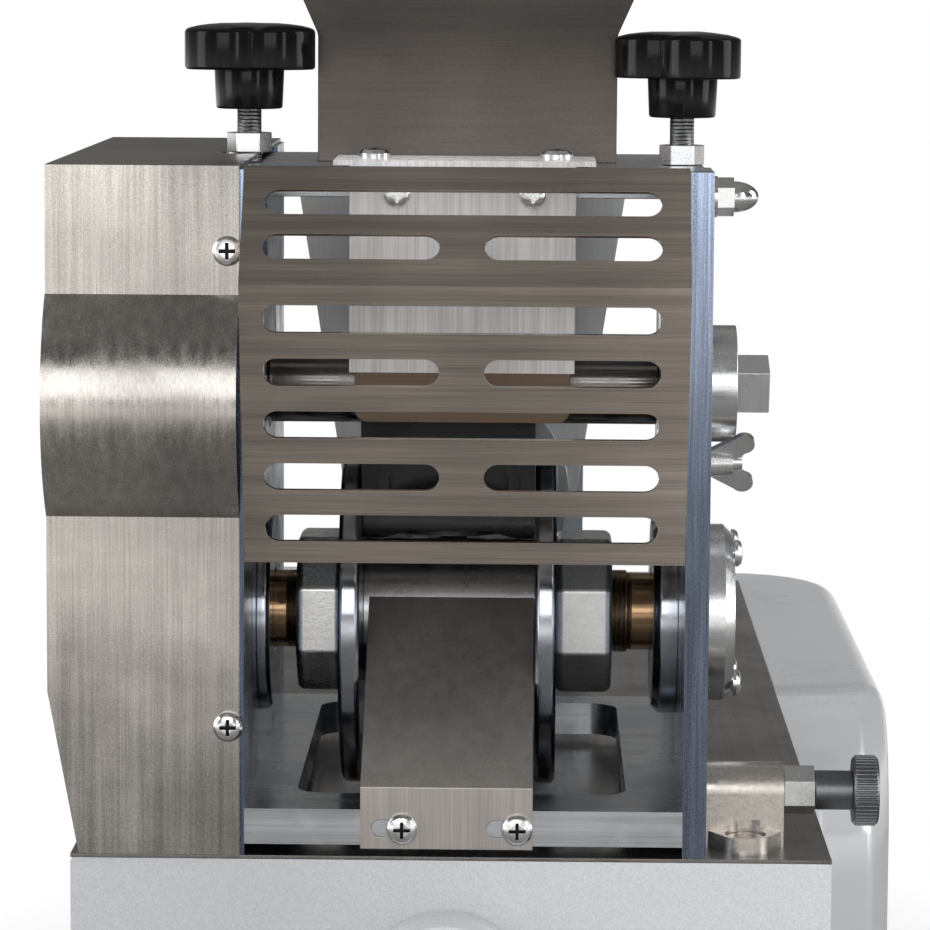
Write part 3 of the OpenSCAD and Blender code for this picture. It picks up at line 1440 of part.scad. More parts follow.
// Inlet: a funnel that stands round the barrel's upper half
module inlet_form(inset, from, to) {
    function half(z) = (inlet_low_w + (inlet_top_w - inlet_low_w) * (z + inlet_down)
        / (inlet_up + inlet_down)) / 2 - inset;
    polygon([[barrel_x - half(from), barrel_z + from], [barrel_x + half(from), barrel_z + from],
        [barrel_x + half(to), barrel_z + to], [barrel_x - half(to), barrel_z + to]]);
}
module extruder_barrel() {
    color(steel) placed() difference() {
        union() {
            bar_y(barrel_front_y, barrel_back_y, barrel_x, barrel_z, barrel_r);
            bar_y(barrel_front_y - end_flange_t, barrel_front_y, barrel_x, barrel_z, end_flange_r);
            translate([barrel_x, barrel_front_y - end_flange_t, barrel_z]) rotate([90, 0, 0])
                cylinder(h = barrel_front_y - end_flange_t - nozzle_tip_y, r1 = nozzle_root_r,
                    r2 = nozzle_tip_r, $fn = 64);
            face(inlet_y0, inlet_len) inlet_form(0, -inlet_down, inlet_up);
            for (y = [barrel_front_y, barrel_back_y - 2 * saddle_t])
                block(barrel_x - saddle_w / 2, barrel_x + saddle_w / 2, y, y + saddle_t, deck_z, barrel_z);
        }
        bar_y(barrel_front_y, barrel_back_y + cut, barrel_x, barrel_z, barrel_r - barrel_wall);
        bar_y(barrel_front_y - end_flange_t - cut, barrel_front_y + cut, barrel_x, barrel_z,
            nozzle_root_r - nozzle_wall);
        translate([barrel_x, barrel_front_y - end_flange_t, barrel_z]) rotate([90, 0, 0])
            cylinder(h = barrel_front_y - end_flange_t - nozzle_tip_y + cut,
                r1 = nozzle_root_r - nozzle_wall,
                r2 = nozzle_tip_r - nozzle_wall, $fn = 64);
        face(inlet_y0 + inlet_wall, inlet_len - 2 * inlet_wall) inlet_form(inlet_wall, 0, inlet_up + cut);
    }
}

screw_core_r = 16;
screw_gap = 1.5;
screw_pitch = 44;
flight_t = 7;
screw_tip_gap = 2;
screw_tip_y = barrel_front_y + screw_tip_gap;
screw_slices = 60;
module extruder_screw() {
    len = barrel_back_y - screw_tip_y;
    color(zinc) placed() translate([barrel_x, screw_tip_y, barrel_z]) rotate([-90, 0, 0]) {
        cylinder(h = len + saddle_t, r = screw_core_r, $fn = 48);
        linear_extrude(len - saddle_t, twist = -360 * (len - saddle_t) / screw_pitch,
            slices = screw_slices)
            polygon([[0, -flight_t / 2], [barrel_r - barrel_wall - screw_gap, -flight_t / 2],
                [barrel_r - barrel_wall - screw_gap, flight_t / 2], [0, flight_t / 2]]);
    }
}

drive_w = 120;
drive_len = 80;
drive_top = 60;
drive_motor_r = 48;
drive_motor_len = 130;
module extruder_drive() {
    color([0.35, 0.37, 0.40]) placed() difference() {
        union() {
            block(barrel_x - drive_w / 2, barrel_x + drive_w / 2, barrel_back_y, barrel_back_y + drive_len,
                deck_z, barrel_z + drive_top);
            bar_y(barrel_back_y + drive_len, barrel_back_y + drive_len + drive_motor_len, barrel_x,
                barrel_z,
                drive_motor_r);
        }
        bar_y(barrel_back_y - cut, barrel_back_y + saddle_t + clear, barrel_x, barrel_z,
            screw_core_r + run);
    }
}

console_body();
deck_sheet();
rear_casing();
floor_plate();
rubber_feet();
front_boss();
left_side_plate();
right_side_plate();
head_base_plate();
head_top_plate();
frame_bolts();
gear_cover();
gear_cover_screws();
guard();
guard_pivot_bolts();
cap_nuts();
guard_bolt();
wing_nut();
lower_shaft();
lower_roller();
left_side_disc();
right_side_disc();
clamp_nuts();
lower_gear();
inner_flanges();
bearing_housings();
lower_bushes();
housing_screws();
upper_shaft();
die_roller();
upper_gear();
left_bearing_block();
right_bearing_block();
upper_bushes();
left_star_knob();
right_star_knob();
left_pressure_stud();
right_pressure_stud();
left_lock_nut();
right_lock_nut();
hopper();
die_cover_sheet();
bracket_screws();
die_wiper();
chute_plate();
chute_screws();
plunger_bracket();
plunger_body();
plunger_pin();
plunger_knob();
plunger_spring();
idler_gear();
idler_pin();
main_gear();
lay_shaft_carrier();
drive_pinion();
reducer_motor();
extruder_barrel();
extruder_screw();
extruder_drive();
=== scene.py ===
"""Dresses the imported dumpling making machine: finishes, rounded edges, turned and moulded details, studio."""

import json
import math

import bmesh
import bpy
from mathutils import Matrix, Vector


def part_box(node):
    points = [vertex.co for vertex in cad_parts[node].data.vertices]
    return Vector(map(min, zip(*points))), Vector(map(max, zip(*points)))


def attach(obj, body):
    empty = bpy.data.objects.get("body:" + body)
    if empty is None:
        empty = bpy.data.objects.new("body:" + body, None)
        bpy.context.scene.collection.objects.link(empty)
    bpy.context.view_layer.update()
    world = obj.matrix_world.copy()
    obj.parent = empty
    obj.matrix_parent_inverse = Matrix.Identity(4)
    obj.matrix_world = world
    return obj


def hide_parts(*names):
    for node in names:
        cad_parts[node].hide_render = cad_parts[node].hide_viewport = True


bl_info = {
    "name": "Dumpling making machine",
    "version": (1, 0, 0),
    "blender": (4, 5, 0),
    "location": "3D View > Sidebar > Machine",
    "description": "Finishes and details of a bench-top dumpling making machine",
    "category": "Object",
}

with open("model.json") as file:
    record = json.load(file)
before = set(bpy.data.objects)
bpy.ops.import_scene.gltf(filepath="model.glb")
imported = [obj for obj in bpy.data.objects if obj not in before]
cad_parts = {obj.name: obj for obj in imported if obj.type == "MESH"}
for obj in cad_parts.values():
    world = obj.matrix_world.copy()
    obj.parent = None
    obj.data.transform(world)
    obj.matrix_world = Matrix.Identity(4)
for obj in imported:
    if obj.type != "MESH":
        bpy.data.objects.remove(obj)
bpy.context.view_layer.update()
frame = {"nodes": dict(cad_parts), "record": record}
BODIES = frame["record"]["behaviour"]["bodies"]
BODY_OF = {node: body for body, nodes in BODIES.items() for node in nodes}

MM = 0.001
X, Y, Z = 0, 1, 2
# The model's origin is at the middle of the footprint, this many mm from the middle of the console's front
MID_X = 23.1
MID_Y = 363.0


def place(x, y, z):
    """A point in metres from mm right of the console's middle, behind its front and above the floor."""
    return Vector(((x - MID_X) * MM, (y - MID_Y) * MM, z * MM))


# ---------------------------------------------------------------- settings


class MachineColours(bpy.types.PropertyGroup):
    paint: bpy.props.FloatVectorProperty(
        name="Paint", description="Silver paint of the console", subtype="COLOR", size=3,
        default=(0.59, 0.60, 0.625), min=0, max=1)
    stainless: bpy.props.FloatVectorProperty(
        name="Stainless", description="Brushed sheet of guard, cover and hopper", subtype="COLOR", size=3,
        default=(0.46, 0.435, 0.41), min=0, max=1)
    ground: bpy.props.FloatVectorProperty(
        name="Ground steel", description="Side plates and discs", subtype="COLOR", size=3,
        default=(0.40, 0.45, 0.53), min=0, max=1)
    zinc: bpy.props.FloatVectorProperty(
        name="Zinc", description="Plated nuts, screws and bearing housings", subtype="COLOR", size=3,
        default=(0.86, 0.87, 0.885), min=0, max=1)
    bronze: bpy.props.FloatVectorProperty(
        name="Bronze", description="Lower shaft and bushes", subtype="COLOR", size=3,
        default=(0.46, 0.30, 0.17), min=0, max=1)


class MachineSizes(bpy.types.PropertyGroup):
    thread_pitch: bpy.props.FloatProperty(
        name="Thread pitch", description="Pitch of the adjusting studs", default=1.5 * MM, min=0.5 * MM,
        unit="LENGTH")
    knob_radius: bpy.props.FloatProperty(
        name="Star knob", description="Radius over the star knobs' lobes", default=28.0 * MM, min=15 * MM,
        unit="LENGTH")


class StudioSettings(bpy.types.PropertyGroup):
    lens: bpy.props.FloatProperty(
        name="Lens", description="Focal length on a 36 mm sensor", default=154.84, min=20)
    top_light: bpy.props.FloatProperty(
        name="Top light", description="Power of the lamp above", default=22.0, min=0, unit="POWER")
    side_light: bpy.props.FloatProperty(
        name="Side light", description="Power of each lamp beside", default=16.0, min=0, unit="POWER")
    front_light: bpy.props.FloatProperty(
        name="Front light", description="Power of the lamp by the camera", default=8.0, min=0,
        unit="POWER")
    strip_light: bpy.props.FloatProperty(
        name="Strip light", description="Power of the narrow lamp right of the camera", default=5.0, min=0,
        unit="POWER")
    ambient: bpy.props.FloatProperty(
        name="Ambient", description="Strength of the even light", default=0.45, min=0, max=1,
        subtype="FACTOR")


# ---------------------------------------------------------------- shader groups


def group_sockets(name, inputs, outputs):
    """A new shader group with these sockets, and its input and output nodes."""
    tree = bpy.data.node_groups.new(name, "ShaderNodeTree")
    for label, kind, value in inputs:
        made = tree.interface.new_socket(name=label, in_out="INPUT", socket_type=kind)
        if value is not None:
            made.default_value = value
    for label, kind in outputs:
        tree.interface.new_socket(name=label, in_out="OUTPUT", socket_type=kind)
    return tree, tree.nodes.new("NodeGroupInput"), tree.nodes.new("NodeGroupOutput")


def math_node(tree, operation, a, b):
    """A Math node of two numbers or sockets."""
    node = tree.nodes.new("ShaderNodeMath")
    node.operation = operation
    for socket, value in zip(node.inputs, (a, b)):
        if hasattr(value, "node"):
            tree.links.new(value, socket)
        else:
            socket.default_value = value
    return node.outputs[0]


def spread(tree, value, low, high, to_low=0.0, to_high=1.0):
    """Leads a value from one span to another and holds it at the ends."""
    node = tree.nodes.new("ShaderNodeMapRange")
    tree.links.new(value, node.inputs[0])
    for socket, number in zip(node.inputs[1:5], (low, high, to_low, to_high)):
        socket.default_value = number
    return node.outputs[0]


def along_axis(tree, vector, axis):
    """The part of a vector along an axis."""
    parts = tree.nodes.new("ShaderNodeSeparateXYZ")
    tree.links.new(vector, parts.inputs[0])
    return parts.outputs[axis]


def length_of(tree, vector):
    node = tree.nodes.new("ShaderNodeVectorMath")
    node.operation = "LENGTH"
    tree.links.new(vector, node.inputs[0])
    return node.outputs["Value"]


def noise(tree, vector, scale, detail, rough=0.5):
    """Cloudy noise from 0 to 1: the scale is a number or a socket."""
    node = tree.nodes.new("ShaderNodeTexNoise")
    node.noise_dimensions = "3D"
    tree.links.new(vector, node.inputs["Vector"])
    if hasattr(scale, "node"):
        tree.links.new(scale, node.inputs["Scale"])
    else:
        node.inputs["Scale"].default_value = scale
    node.inputs["Detail"].default_value = detail
    node.inputs["Roughness"].default_value = rough
    return node.outputs["Fac"]


def make_grain_group():
    """Brushed lines: noise that is stretched along the strokes."""
    tree, given, out = group_sockets(
        "Brushed grain",
        [("Vector", "NodeSocketVector", None), ("Scale", "NodeSocketFloat", 900.0)],
        [("Lines", "NodeSocketFloat"), ("Bands", "NodeSocketFloat")])
    lines = noise(tree, given.outputs["Vector"], given.outputs["Scale"], 2.0, 0.6)
    coarse = math_node(tree, "MULTIPLY", given.outputs["Scale"], 0.12)
    bands = noise(tree, given.outputs["Vector"], coarse, 2.0, 0.5)
    tree.links.new(spread(tree, lines, 0.3, 0.7), out.inputs["Lines"])
    tree.links.new(spread(tree, bands, 0.3, 0.7), out.inputs["Bands"])
    return tree


def make_smudge_and_shade_group():
    """Wiped patches and handling marks; the patches also serve as painted light and shade on dented sheet."""
    tree, given, out = group_sockets(
        "Smudges",
        [("Vector", "NodeSocketVector", None), ("Scale", "NodeSocketFloat", 14.0)],
        [("Patches", "NodeSocketFloat"), ("Marks", "NodeSocketFloat")])
    patches = noise(tree, given.outputs["Vector"], given.outputs["Scale"], 2.0, 0.45)
    fine = math_node(tree, "MULTIPLY", given.outputs["Scale"], 6.0)
    marks = noise(tree, given.outputs["Vector"], fine, 3.0, 0.5)
    tree.links.new(spread(tree, patches, 0.34, 0.66), out.inputs["Patches"])
    tree.links.new(spread(tree, marks, 0.50, 0.85), out.inputs["Marks"])
    return tree


def make_speckle_group():
    """Fine pits and grains, as on a casting, a plating or hammertone paint."""
    tree, given, out = group_sockets(
        "Speckle",
        [("Vector", "NodeSocketVector", None), ("Scale", "NodeSocketFloat", 1200.0)],
        [("Grains", "NodeSocketFloat"), ("Dimples", "NodeSocketFloat")])
    grains = noise(tree, given.outputs["Vector"], given.outputs["Scale"], 2.0, 0.7)
    cells = tree.nodes.new("ShaderNodeTexVoronoi")
    cells.feature = "F1"
    tree.links.new(given.outputs["Vector"], cells.inputs["Vector"])
    tree.links.new(math_node(tree, "MULTIPLY", given.outputs["Scale"], 0.35), cells.inputs["Scale"])
    tree.links.new(spread(tree, grains, 0.32, 0.68), out.inputs["Grains"])
    tree.links.new(spread(tree, cells.outputs["Distance"], 0.0, 0.6), out.inputs["Dimples"])
    return tree


def make_thread_group():
    """Screw threads: saw-tooth rings of one pitch along an axis, between two ends."""
    tree, given, out = group_sockets(
        "Thread",
        [("Along", "NodeSocketFloat", 0.0), ("Pitch", "NodeSocketFloat", 1.5 * MM),
         ("Start", "NodeSocketFloat", 0.0), ("End", "NodeSocketFloat", 1.0)],
        [("Height", "NodeSocketFloat")])
    turns = math_node(tree, "DIVIDE", given.outputs["Along"], given.outputs["Pitch"])
    wave = math_node(tree, "PINGPONG", turns, 0.5)
    after = math_node(tree, "GREATER_THAN", given.outputs["Along"], given.outputs["Start"])
    before = math_node(tree, "LESS_THAN", given.outputs["Along"], given.outputs["End"])
    inside = math_node(tree, "MULTIPLY", after, before)
    tree.links.new(math_node(tree, "MULTIPLY", math_node(tree, "MULTIPLY", wave, 2.0), inside),
                   out.inputs["Height"])
    return tree


GROUP_MAKERS = {
    "grain": make_grain_group,
    "smudges_and_shade": make_smudge_and_shade_group,
    "speckle": make_speckle_group,
    "thread": make_thread_group,
}
GROUPS = {}


def shared_group(name):
    """A group is made at its first use and shared after that."""
    if name not in GROUPS:
        GROUPS[name] = GROUP_MAKERS[name]()
    return GROUPS[name]


# ---------------------------------------------------------------- finishes


# Places of a Mix node's colour sockets
MIX_A, MIX_B, MIX_RESULT = 6, 7, 2
STROKE_STRETCH = 0.012
LEAST_ROUGHNESS = 0.04


class Finish:
    """One material, built up from a base colour and the shared groups."""

    def __init__(self, name, colour, metallic, roughness, specular=0.5):
        self.material = bpy.data.materials.new(name)
        self.material.use_nodes = True
        self.tree = self.material.node_tree
        self.shader = self.tree.nodes["Principled BSDF"]
        self.shader.inputs["Metallic"].default_value = metallic
        self.shader.inputs["Specular IOR Level"].default_value = specular
        self.colour = (*colour, 1.0)
        self.rough = roughness
        self.coords = self.tree.nodes.new("ShaderNodeTexCoord").outputs["Object"]
        self.dark = None
        self.rough_value = None
        self.height = None
        self.material.diffuse_color = self.colour

    def group(self, name, **values):
        node = self.tree.nodes.new("ShaderNodeGroup")
        node.node_tree = shared_group(name)
        for label, value in values.items():
            node.inputs[label].default_value = value
        return node

    def shade(self, value, amount):
        """Darkens or lightens the colour by this value: 0.5 leaves it as it is."""
        self.multiply(spread(self.tree, value, 0, 1, 1 - amount, 1 + amount))

    def multiply(self, change):
        self.dark = change if self.dark is None else math_node(self.tree, "MULTIPLY", self.dark, change)

    def roughen(self, value, amount):
        change = spread(self.tree, value, 0, 1, -amount, amount)
        base = self.rough if self.rough_value is None else self.rough_value
        self.rough_value = math_node(self.tree, "ADD", change, base)

    def raise_by(self, value, depth):
        """Adds relief of this depth in metres."""
        part = math_node(self.tree, "MULTIPLY", value, depth)
        self.height = part if self.height is None else math_node(self.tree, "ADD", self.height, part)

    def brushed(self, stroke, amount, depth, scale):
        """Fine lines along the axis of the stroke."""
        mapping = self.tree.nodes.new("ShaderNodeMapping")
        scales = [1.0, 1.0, 1.0]
        scales[stroke] = STROKE_STRETCH
        mapping.inputs["Scale"].default_value = scales
        self.tree.links.new(self.coords, mapping.inputs["Vector"])
        node = self.group("grain", Scale=scale)
        self.tree.links.new(mapping.outputs["Vector"], node.inputs["Vector"])
        self.shade(node.outputs["Lines"], amount)
        self.shade(node.outputs["Bands"], amount * 0.5)
        self.roughen(node.outputs["Bands"], amount * 0.4)
        self.raise_by(node.outputs["Lines"], depth)
        return self

    def handled(self, amount=0.06, scale=14.0):
        """Wear: patches wiped dull or bright, and marks of hands."""
        node = self.group("smudges_and_shade", Scale=scale)
        self.tree.links.new(self.coords, node.inputs["Vector"])
        self.roughen(node.outputs["Patches"], amount)
        self.roughen(node.outputs["Marks"], amount * 0.8)
        self.shade(node.outputs["Patches"], amount * 0.5)
        return self

    def dented_with_painted_shade(self, depth, scale, amount):
        """Soft waves of thin sheet, tens of millimetres wide, as a bump, with patches of painted light and
        shade on the colour that stand in for their reflections.
        """
        node = self.group("smudges_and_shade", Scale=scale)
        self.tree.links.new(self.coords, node.inputs["Vector"])
        self.raise_by(node.outputs["Patches"], depth)
        # painted light and shade: the colour follows the same patches as the waves
        self.shade(node.outputs["Patches"], amount)
        return self

    def painted_light_gradient(self, axis, low, high, at_low, at_high):
        """Paints light and shade into the colour: brighter or darker from one place along an axis to another,
        given in metres of the model.
        """
        self.multiply(spread(self.tree, along_axis(self.tree, self.coords, axis), low, high, at_low, at_high))
        return self

    def speckled(self, amount=0.1, depth=5e-6, scale=1200.0, dimples=0.0):
        """Fine grains, and dimples where a depth is given for them."""
        node = self.group("speckle", Scale=scale)
        self.tree.links.new(self.coords, node.inputs["Vector"])
        self.shade(node.outputs["Grains"], amount)
        self.roughen(node.outputs["Grains"], amount * 0.3)
        self.raise_by(node.outputs["Grains"], depth)
        if dimples:
            self.raise_by(node.outputs["Dimples"], dimples)
        return self

    def threaded(self, axis, pitch, depth, start, end):
        """Screw thread of this depth between two places along an axis, with painted shade in its roots."""
        node = self.group("thread", Pitch=pitch, Start=start, End=end)
        self.tree.links.new(along_axis(self.tree, self.coords, axis), node.inputs["Along"])
        self.raise_by(node.outputs["Height"], depth)
        # painted shade: darker where the thread is low, in its roots and beyond its ends, and lighter on its
        # crests
        self.shade(node.outputs["Height"], 0.25)
        return self

    def done(self):
        """Joins what was built up to the shader and gives the material."""
        links, sockets = self.tree.links, self.shader.inputs
        grey = self.tree.nodes.new("ShaderNodeCombineColor")
        for socket in grey.inputs[:3]:
            links.new(self.dark, socket)
        colour = self.tree.nodes.new("ShaderNodeMix")
        colour.data_type = "RGBA"
        colour.blend_type = "MULTIPLY"
        colour.inputs["Factor"].default_value = 1.0
        colour.inputs[MIX_A].default_value = self.colour
        links.new(grey.outputs[0], colour.inputs[MIX_B])
        links.new(colour.outputs[MIX_RESULT], sockets["Base Color"])
        links.new(math_node(self.tree, "MAXIMUM", self.rough_value, LEAST_ROUGHNESS), sockets["Roughness"])
        bump = self.tree.nodes.new("ShaderNodeBump")
        bump.inputs["Strength"].default_value = 1.0
        bump.inputs["Distance"].default_value = 1.0
        links.new(self.height, bump.inputs["Height"])
        links.new(bump.outputs["Normal"], sockets["Normal"])
        return self.material


FINISHES = {}
# Where the threads begin and end, in metres of the model: up the studs and along the lower shaft
STUD_THREAD = (0.5, 0.56)
SHAFT_THREAD = (place(-70, 0, 0).x, place(72, 0, 0).x)
SHAFT_PITCH = 2.0 * MM


def make_finishes(colours, sizes):
    """Every finish of the machine, by its own name.

    A Finish has a colour, a metallic share and a roughness. Depths and places are in metres.
    """
    stainless = tuple(colours.stainless)
    made = FINISHES
    # painted light: the console's paint is lighter towards its right
    made["console paint"] = Finish("Hammertone paint", colours.paint, 0.25, 0.42).speckled(
        0.10, 1.2e-5, 1500.0, 1.5e-5).painted_light_gradient(X, -0.10, 0.12, 0.98, 1.24).handled(0.04, 9.0).done()
    made["casing paint"] = Finish("Satin silver paint", (0.68, 0.695, 0.72), 0.45, 0.30).speckled(
        0.03, 2e-6, 2600.0).handled(0.02, 6.0).done()
    # painted light and shade: the cover sheet is lighter at its left, darker towards its right and towards its
    # bottom, with painted patches on its waves
    made["cover sheet"] = Finish(
        "Brushed cover sheet", tuple(c * 1.26 for c in stainless), 1.0, 0.26).brushed(
        Z, 0.16, 4e-6, 1900.0).speckled(0.12, 2e-6, 1500.0).dented_with_painted_shade(4e-4, 9.0, 0.16).dented_with_painted_shade(
        1.2e-4, 26.0, 0.12).painted_light_gradient(X, -0.15, -0.105, 1.08, 0.86).painted_light_gradient(
        Z, 0.27, 0.50, 0.74, 0.90).handled(0.03, 11.0).done()
    # painted shade: a darker copy of the cover's stainless for its upward faces, with painted patches on its
    # waves
    made["cover top shade"] = Finish("Dull cover top", tuple(c * 0.7 for c in stainless), 1.0, 0.34).brushed(
        X, 0.12, 4e-6, 1900.0).dented_with_painted_shade(1e-4, 14.0, 0.12).done()
    # painted light and shade: the guard is darker towards its top and lighter towards its right, with painted
    # patches on its waves
    made["guard sheet"] = Finish("Brushed guard sheet", (0.58, 0.51, 0.455), 1.0, 0.33).brushed(
        X, 0.16, 4e-6, 1700.0).dented_with_painted_shade(1e-4, 14.0, 0.10).painted_light_gradient(Z, 0.44, 0.52, 1.0, 0.80).painted_light_gradient(
        X, 0.02, 0.065, 1.0, 1.25).handled(0.03, 16.0).done()
    # painted light and shade: patches on the colour over the sheet's waves
    made["upright sheet"] = Finish("Sheet brushed upright", stainless, 1.0, 0.34).brushed(
        Z, 0.10, 4e-6, 1700.0).dented_with_painted_shade(2e-4, 11.0, 0.08).handled(0.04, 12.0).done()
    # painted shade: the hopper is painted much darker, most towards its top, with painted patches on its waves
    made["hopper sheet"] = Finish("Dull hopper sheet", (0.33, 0.295, 0.27), 1.0, 0.36).brushed(
        X, 0.08, 3e-6, 1200.0).speckled(0.12, 3e-6, 1500.0).dented_with_painted_shade(1.5e-4, 14.0, 0.14).painted_light_gradient(
        Z, 0.52, 0.57, 0.40, 0.14).handled(0.03, 12.0).done()
    # painted light: the die cover sheet is painted pale and not metallic, as it shows lit, with painted patches
    # on its waves
    made["lit sheet"] = Finish("Pale bent sheet", (0.88, 0.875, 0.87), 0.0, 0.30).brushed(
        Z, 0.16, 4e-6, 1500.0).dented_with_painted_shade(3e-5, 14.0, 0.10).handled(0.04, 12.0).done()
    made["extruder steel"] = Finish("Pale extruder steel", (0.74, 0.75, 0.76), 1.0, 0.40).brushed(
        Z, 0.05, 3e-6, 1500.0).handled(0.04, 12.0).done()
    # painted light and shade: patches on the colour over the sheet's waves
    made["chute sheet"] = Finish("Worn chute sheet", (0.40, 0.375, 0.355), 0.74, 0.40).brushed(
        Z, 0.12, 4e-6, 1700.0).dented_with_painted_shade(8e-5, 18.0, 0.12).handled(0.04, 20.0).done()
    made["deck sheet"] = Finish("Dull deck sheet", (0.27, 0.26, 0.25), 1.0, 0.36).brushed(
        Y, 0.12, 4e-6, 900.0).speckled(0.08, 3e-6, 1400.0).handled(0.09, 8.0).done()
    made["ground steel"] = Finish("Ground side plates", colours.ground, 1.0, 0.24).brushed(
        Z, 0.14, 5e-6, 1500.0).handled(0.06, 20.0).done()
    # painted highlight: the side plates' front edges grow lighter towards their top
    made["plate edge"] = Finish("Sawn plate edge", (0.13, 0.155, 0.21), 1.0, 0.30).brushed(
        Z, 0.40, 8e-6, 1500.0).speckled(0.25, 6e-6, 1300.0).painted_light_gradient(Z, 0.39, 0.56, 1.0, 3.9).done()
    made["turned steel"] = Finish("Turned discs", (0.46, 0.48, 0.52), 1.0, 0.22).speckled(
        0.05, 3e-6, 1600.0).handled(0.07, 22.0).done()
    made["roller steel"] = Finish("Roller steel", (0.50, 0.50, 0.52), 1.0, 0.28).brushed(
        Y, 0.08, 3e-6, 900.0).handled(0.06, 20.0).done()
    made["dark shaft"] = Finish("Oiled shaft", (0.28, 0.27, 0.26), 1.0, 0.25).speckled(
        0.06, 3e-6, 1500.0).handled(0.10, 25.0).done()
    made["square end"] = Finish("Machined square end", (0.95, 0.96, 0.98), 1.0, 0.5).speckled(
        0.10, 5e-6, 1500.0).handled(0.05, 25.0).done()
    made["zinc"] = Finish("Zinc plating", colours.zinc, 1.0, 0.27).speckled(
        0.06, 5e-6, 1100.0).handled(0.08, 26.0).done()
    # painted shade: the screws' cross recesses are painted near black
    made["recess"] = Finish("Dark screw recess", (0.015, 0.015, 0.016), 0.5, 0.5).speckled(0.1).done()
    made["nut zinc"] = Finish("Dull zinc of the clamp nuts", (0.74, 0.745, 0.745), 1.0, 0.36).speckled(
        0.10, 1.2e-5, 900.0, 8e-6).handled(0.10, 18.0).done()
    made["stud thread"] = Finish("Threaded stud", colours.zinc, 1.0, 0.28).threaded(
        Z, sizes.thread_pitch, 4.5e-4, *STUD_THREAD).speckled(0.05, 3e-6).handled(0.05).done()
    made["shaft bronze"] = Finish("Threaded bronze shaft", colours.bronze, 1.0, 0.27).threaded(
        X, SHAFT_PITCH, 5e-4, *SHAFT_THREAD).speckled(0.08, 4e-6).handled(0.09, 24.0).done()
    made["bronze"] = Finish("Bush bronze", (0.52, 0.36, 0.20), 1.0, 0.30).speckled(0.06).handled(0.06).done()
    made["knob plastic"] = Finish(
        "Black knob plastic", (0.006, 0.006, 0.007), 0.0, 0.15, specular=0.16).speckled(
        0.10, 1.5e-6, 1800.0).handled(0.04, 18.0).done()
    made["dark plated"] = Finish("Dark plated steel", (0.24, 0.25, 0.265), 1.0, 0.38).speckled(
        0.12, 6e-6, 1200.0).handled(0.06, 20.0).done()
    made["rubber"] = Finish("Foot rubber", (0.02, 0.02, 0.02), 0.0, 0.75).speckled(
        0.2, 1e-5, 900.0).handled(0.05).done()
    made["tumbled casting"] = Finish("Tumbled nickel casting", (0.70, 0.655, 0.61), 1.0, 0.38).speckled(
        0.12, 2.2e-5, 700.0, 3e-5).handled(0.08, 24.0).done()
    made["cast iron"] = Finish("Cast iron", (0.20, 0.20, 0.20), 0.7, 0.55).speckled(
        0.14, 3e-5, 600.0, 3e-5).handled(0.06).done()
    made["gear steel"] = Finish("Oily gear steel", (0.30, 0.29, 0.28), 1.0, 0.30).speckled(
        0.08, 4e-6).handled(0.12, 20.0).done()
    made["black steel"] = Finish("Blackened steel", (0.03, 0.03, 0.033), 0.6, 0.35).speckled(
        0.12, 6e-6).handled(0.06).done()
    made["die polymer"] = Finish("Black die polymer", (0.022, 0.022, 0.024), 0.0, 0.32).brushed(
        Y, 0.10, 3e-6, 700.0).handled(0.08, 18.0).done()
    made["laminate"] = Finish("Brown laminate", (0.20, 0.13, 0.08), 0.0, 0.45).brushed(
        X, 0.15, 6e-6, 700.0).handled(0.06, 18.0).done()
    made["machine grey"] = Finish("Grey machine paint", (0.22, 0.24, 0.27), 0.0, 0.40).speckled(
        0.06, 6e-6, 900.0).handled(0.06, 9.0).done()
    made["milled aluminium"] = Finish("Milled aluminium", (0.60, 0.63, 0.67), 1.0, 0.34).brushed(
        X, 0.10, 5e-6, 900.0).handled(0.07, 15.0).done()


# ---------------------------------------------------------------- pieces


def lay_aside():
    """Nothing is selected or active."""
    bpy.ops.object.select_all(action="DESELECT")
    bpy.context.view_layer.objects.active = None


def pick(obj):
    lay_aside()
    obj.select_set(True)
    bpy.context.view_layer.objects.active = obj


def give(obj, finish):
    obj.data.materials.clear()
    obj.data.materials.append(FINISHES[finish])
    for face in obj.data.polygons:
        face.material_index = 0


def finish_piece(obj, node, finish):
    """The piece stands for its node, rides on the same body and takes its finish."""
    give(obj, finish)
    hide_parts(node)
    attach(obj, BODY_OF[node])


def piece_of(node):
    return bpy.data.objects[node + "_piece"]


def bevelled(obj, name, width, segments, angle):
    """Rounds the edges of the active object that turn by more than the angle."""
    bevel = obj.modifiers.new(name, "BEVEL")
    bevel.width = width
    bevel.segments = segments
    bevel.limit_method = "ANGLE"
    bevel.angle_limit = math.radians(angle)
    bpy.ops.object.modifier_apply(modifier=bevel.name)


# Points nearer than this are one, and faces flatter than this many degrees are one face
MERGE_GAP = 0.01 * MM
FLAT_ANGLE = 0.6
EDGE_ANGLE = 30.0
SMOOTH_ANGLE = 35.0


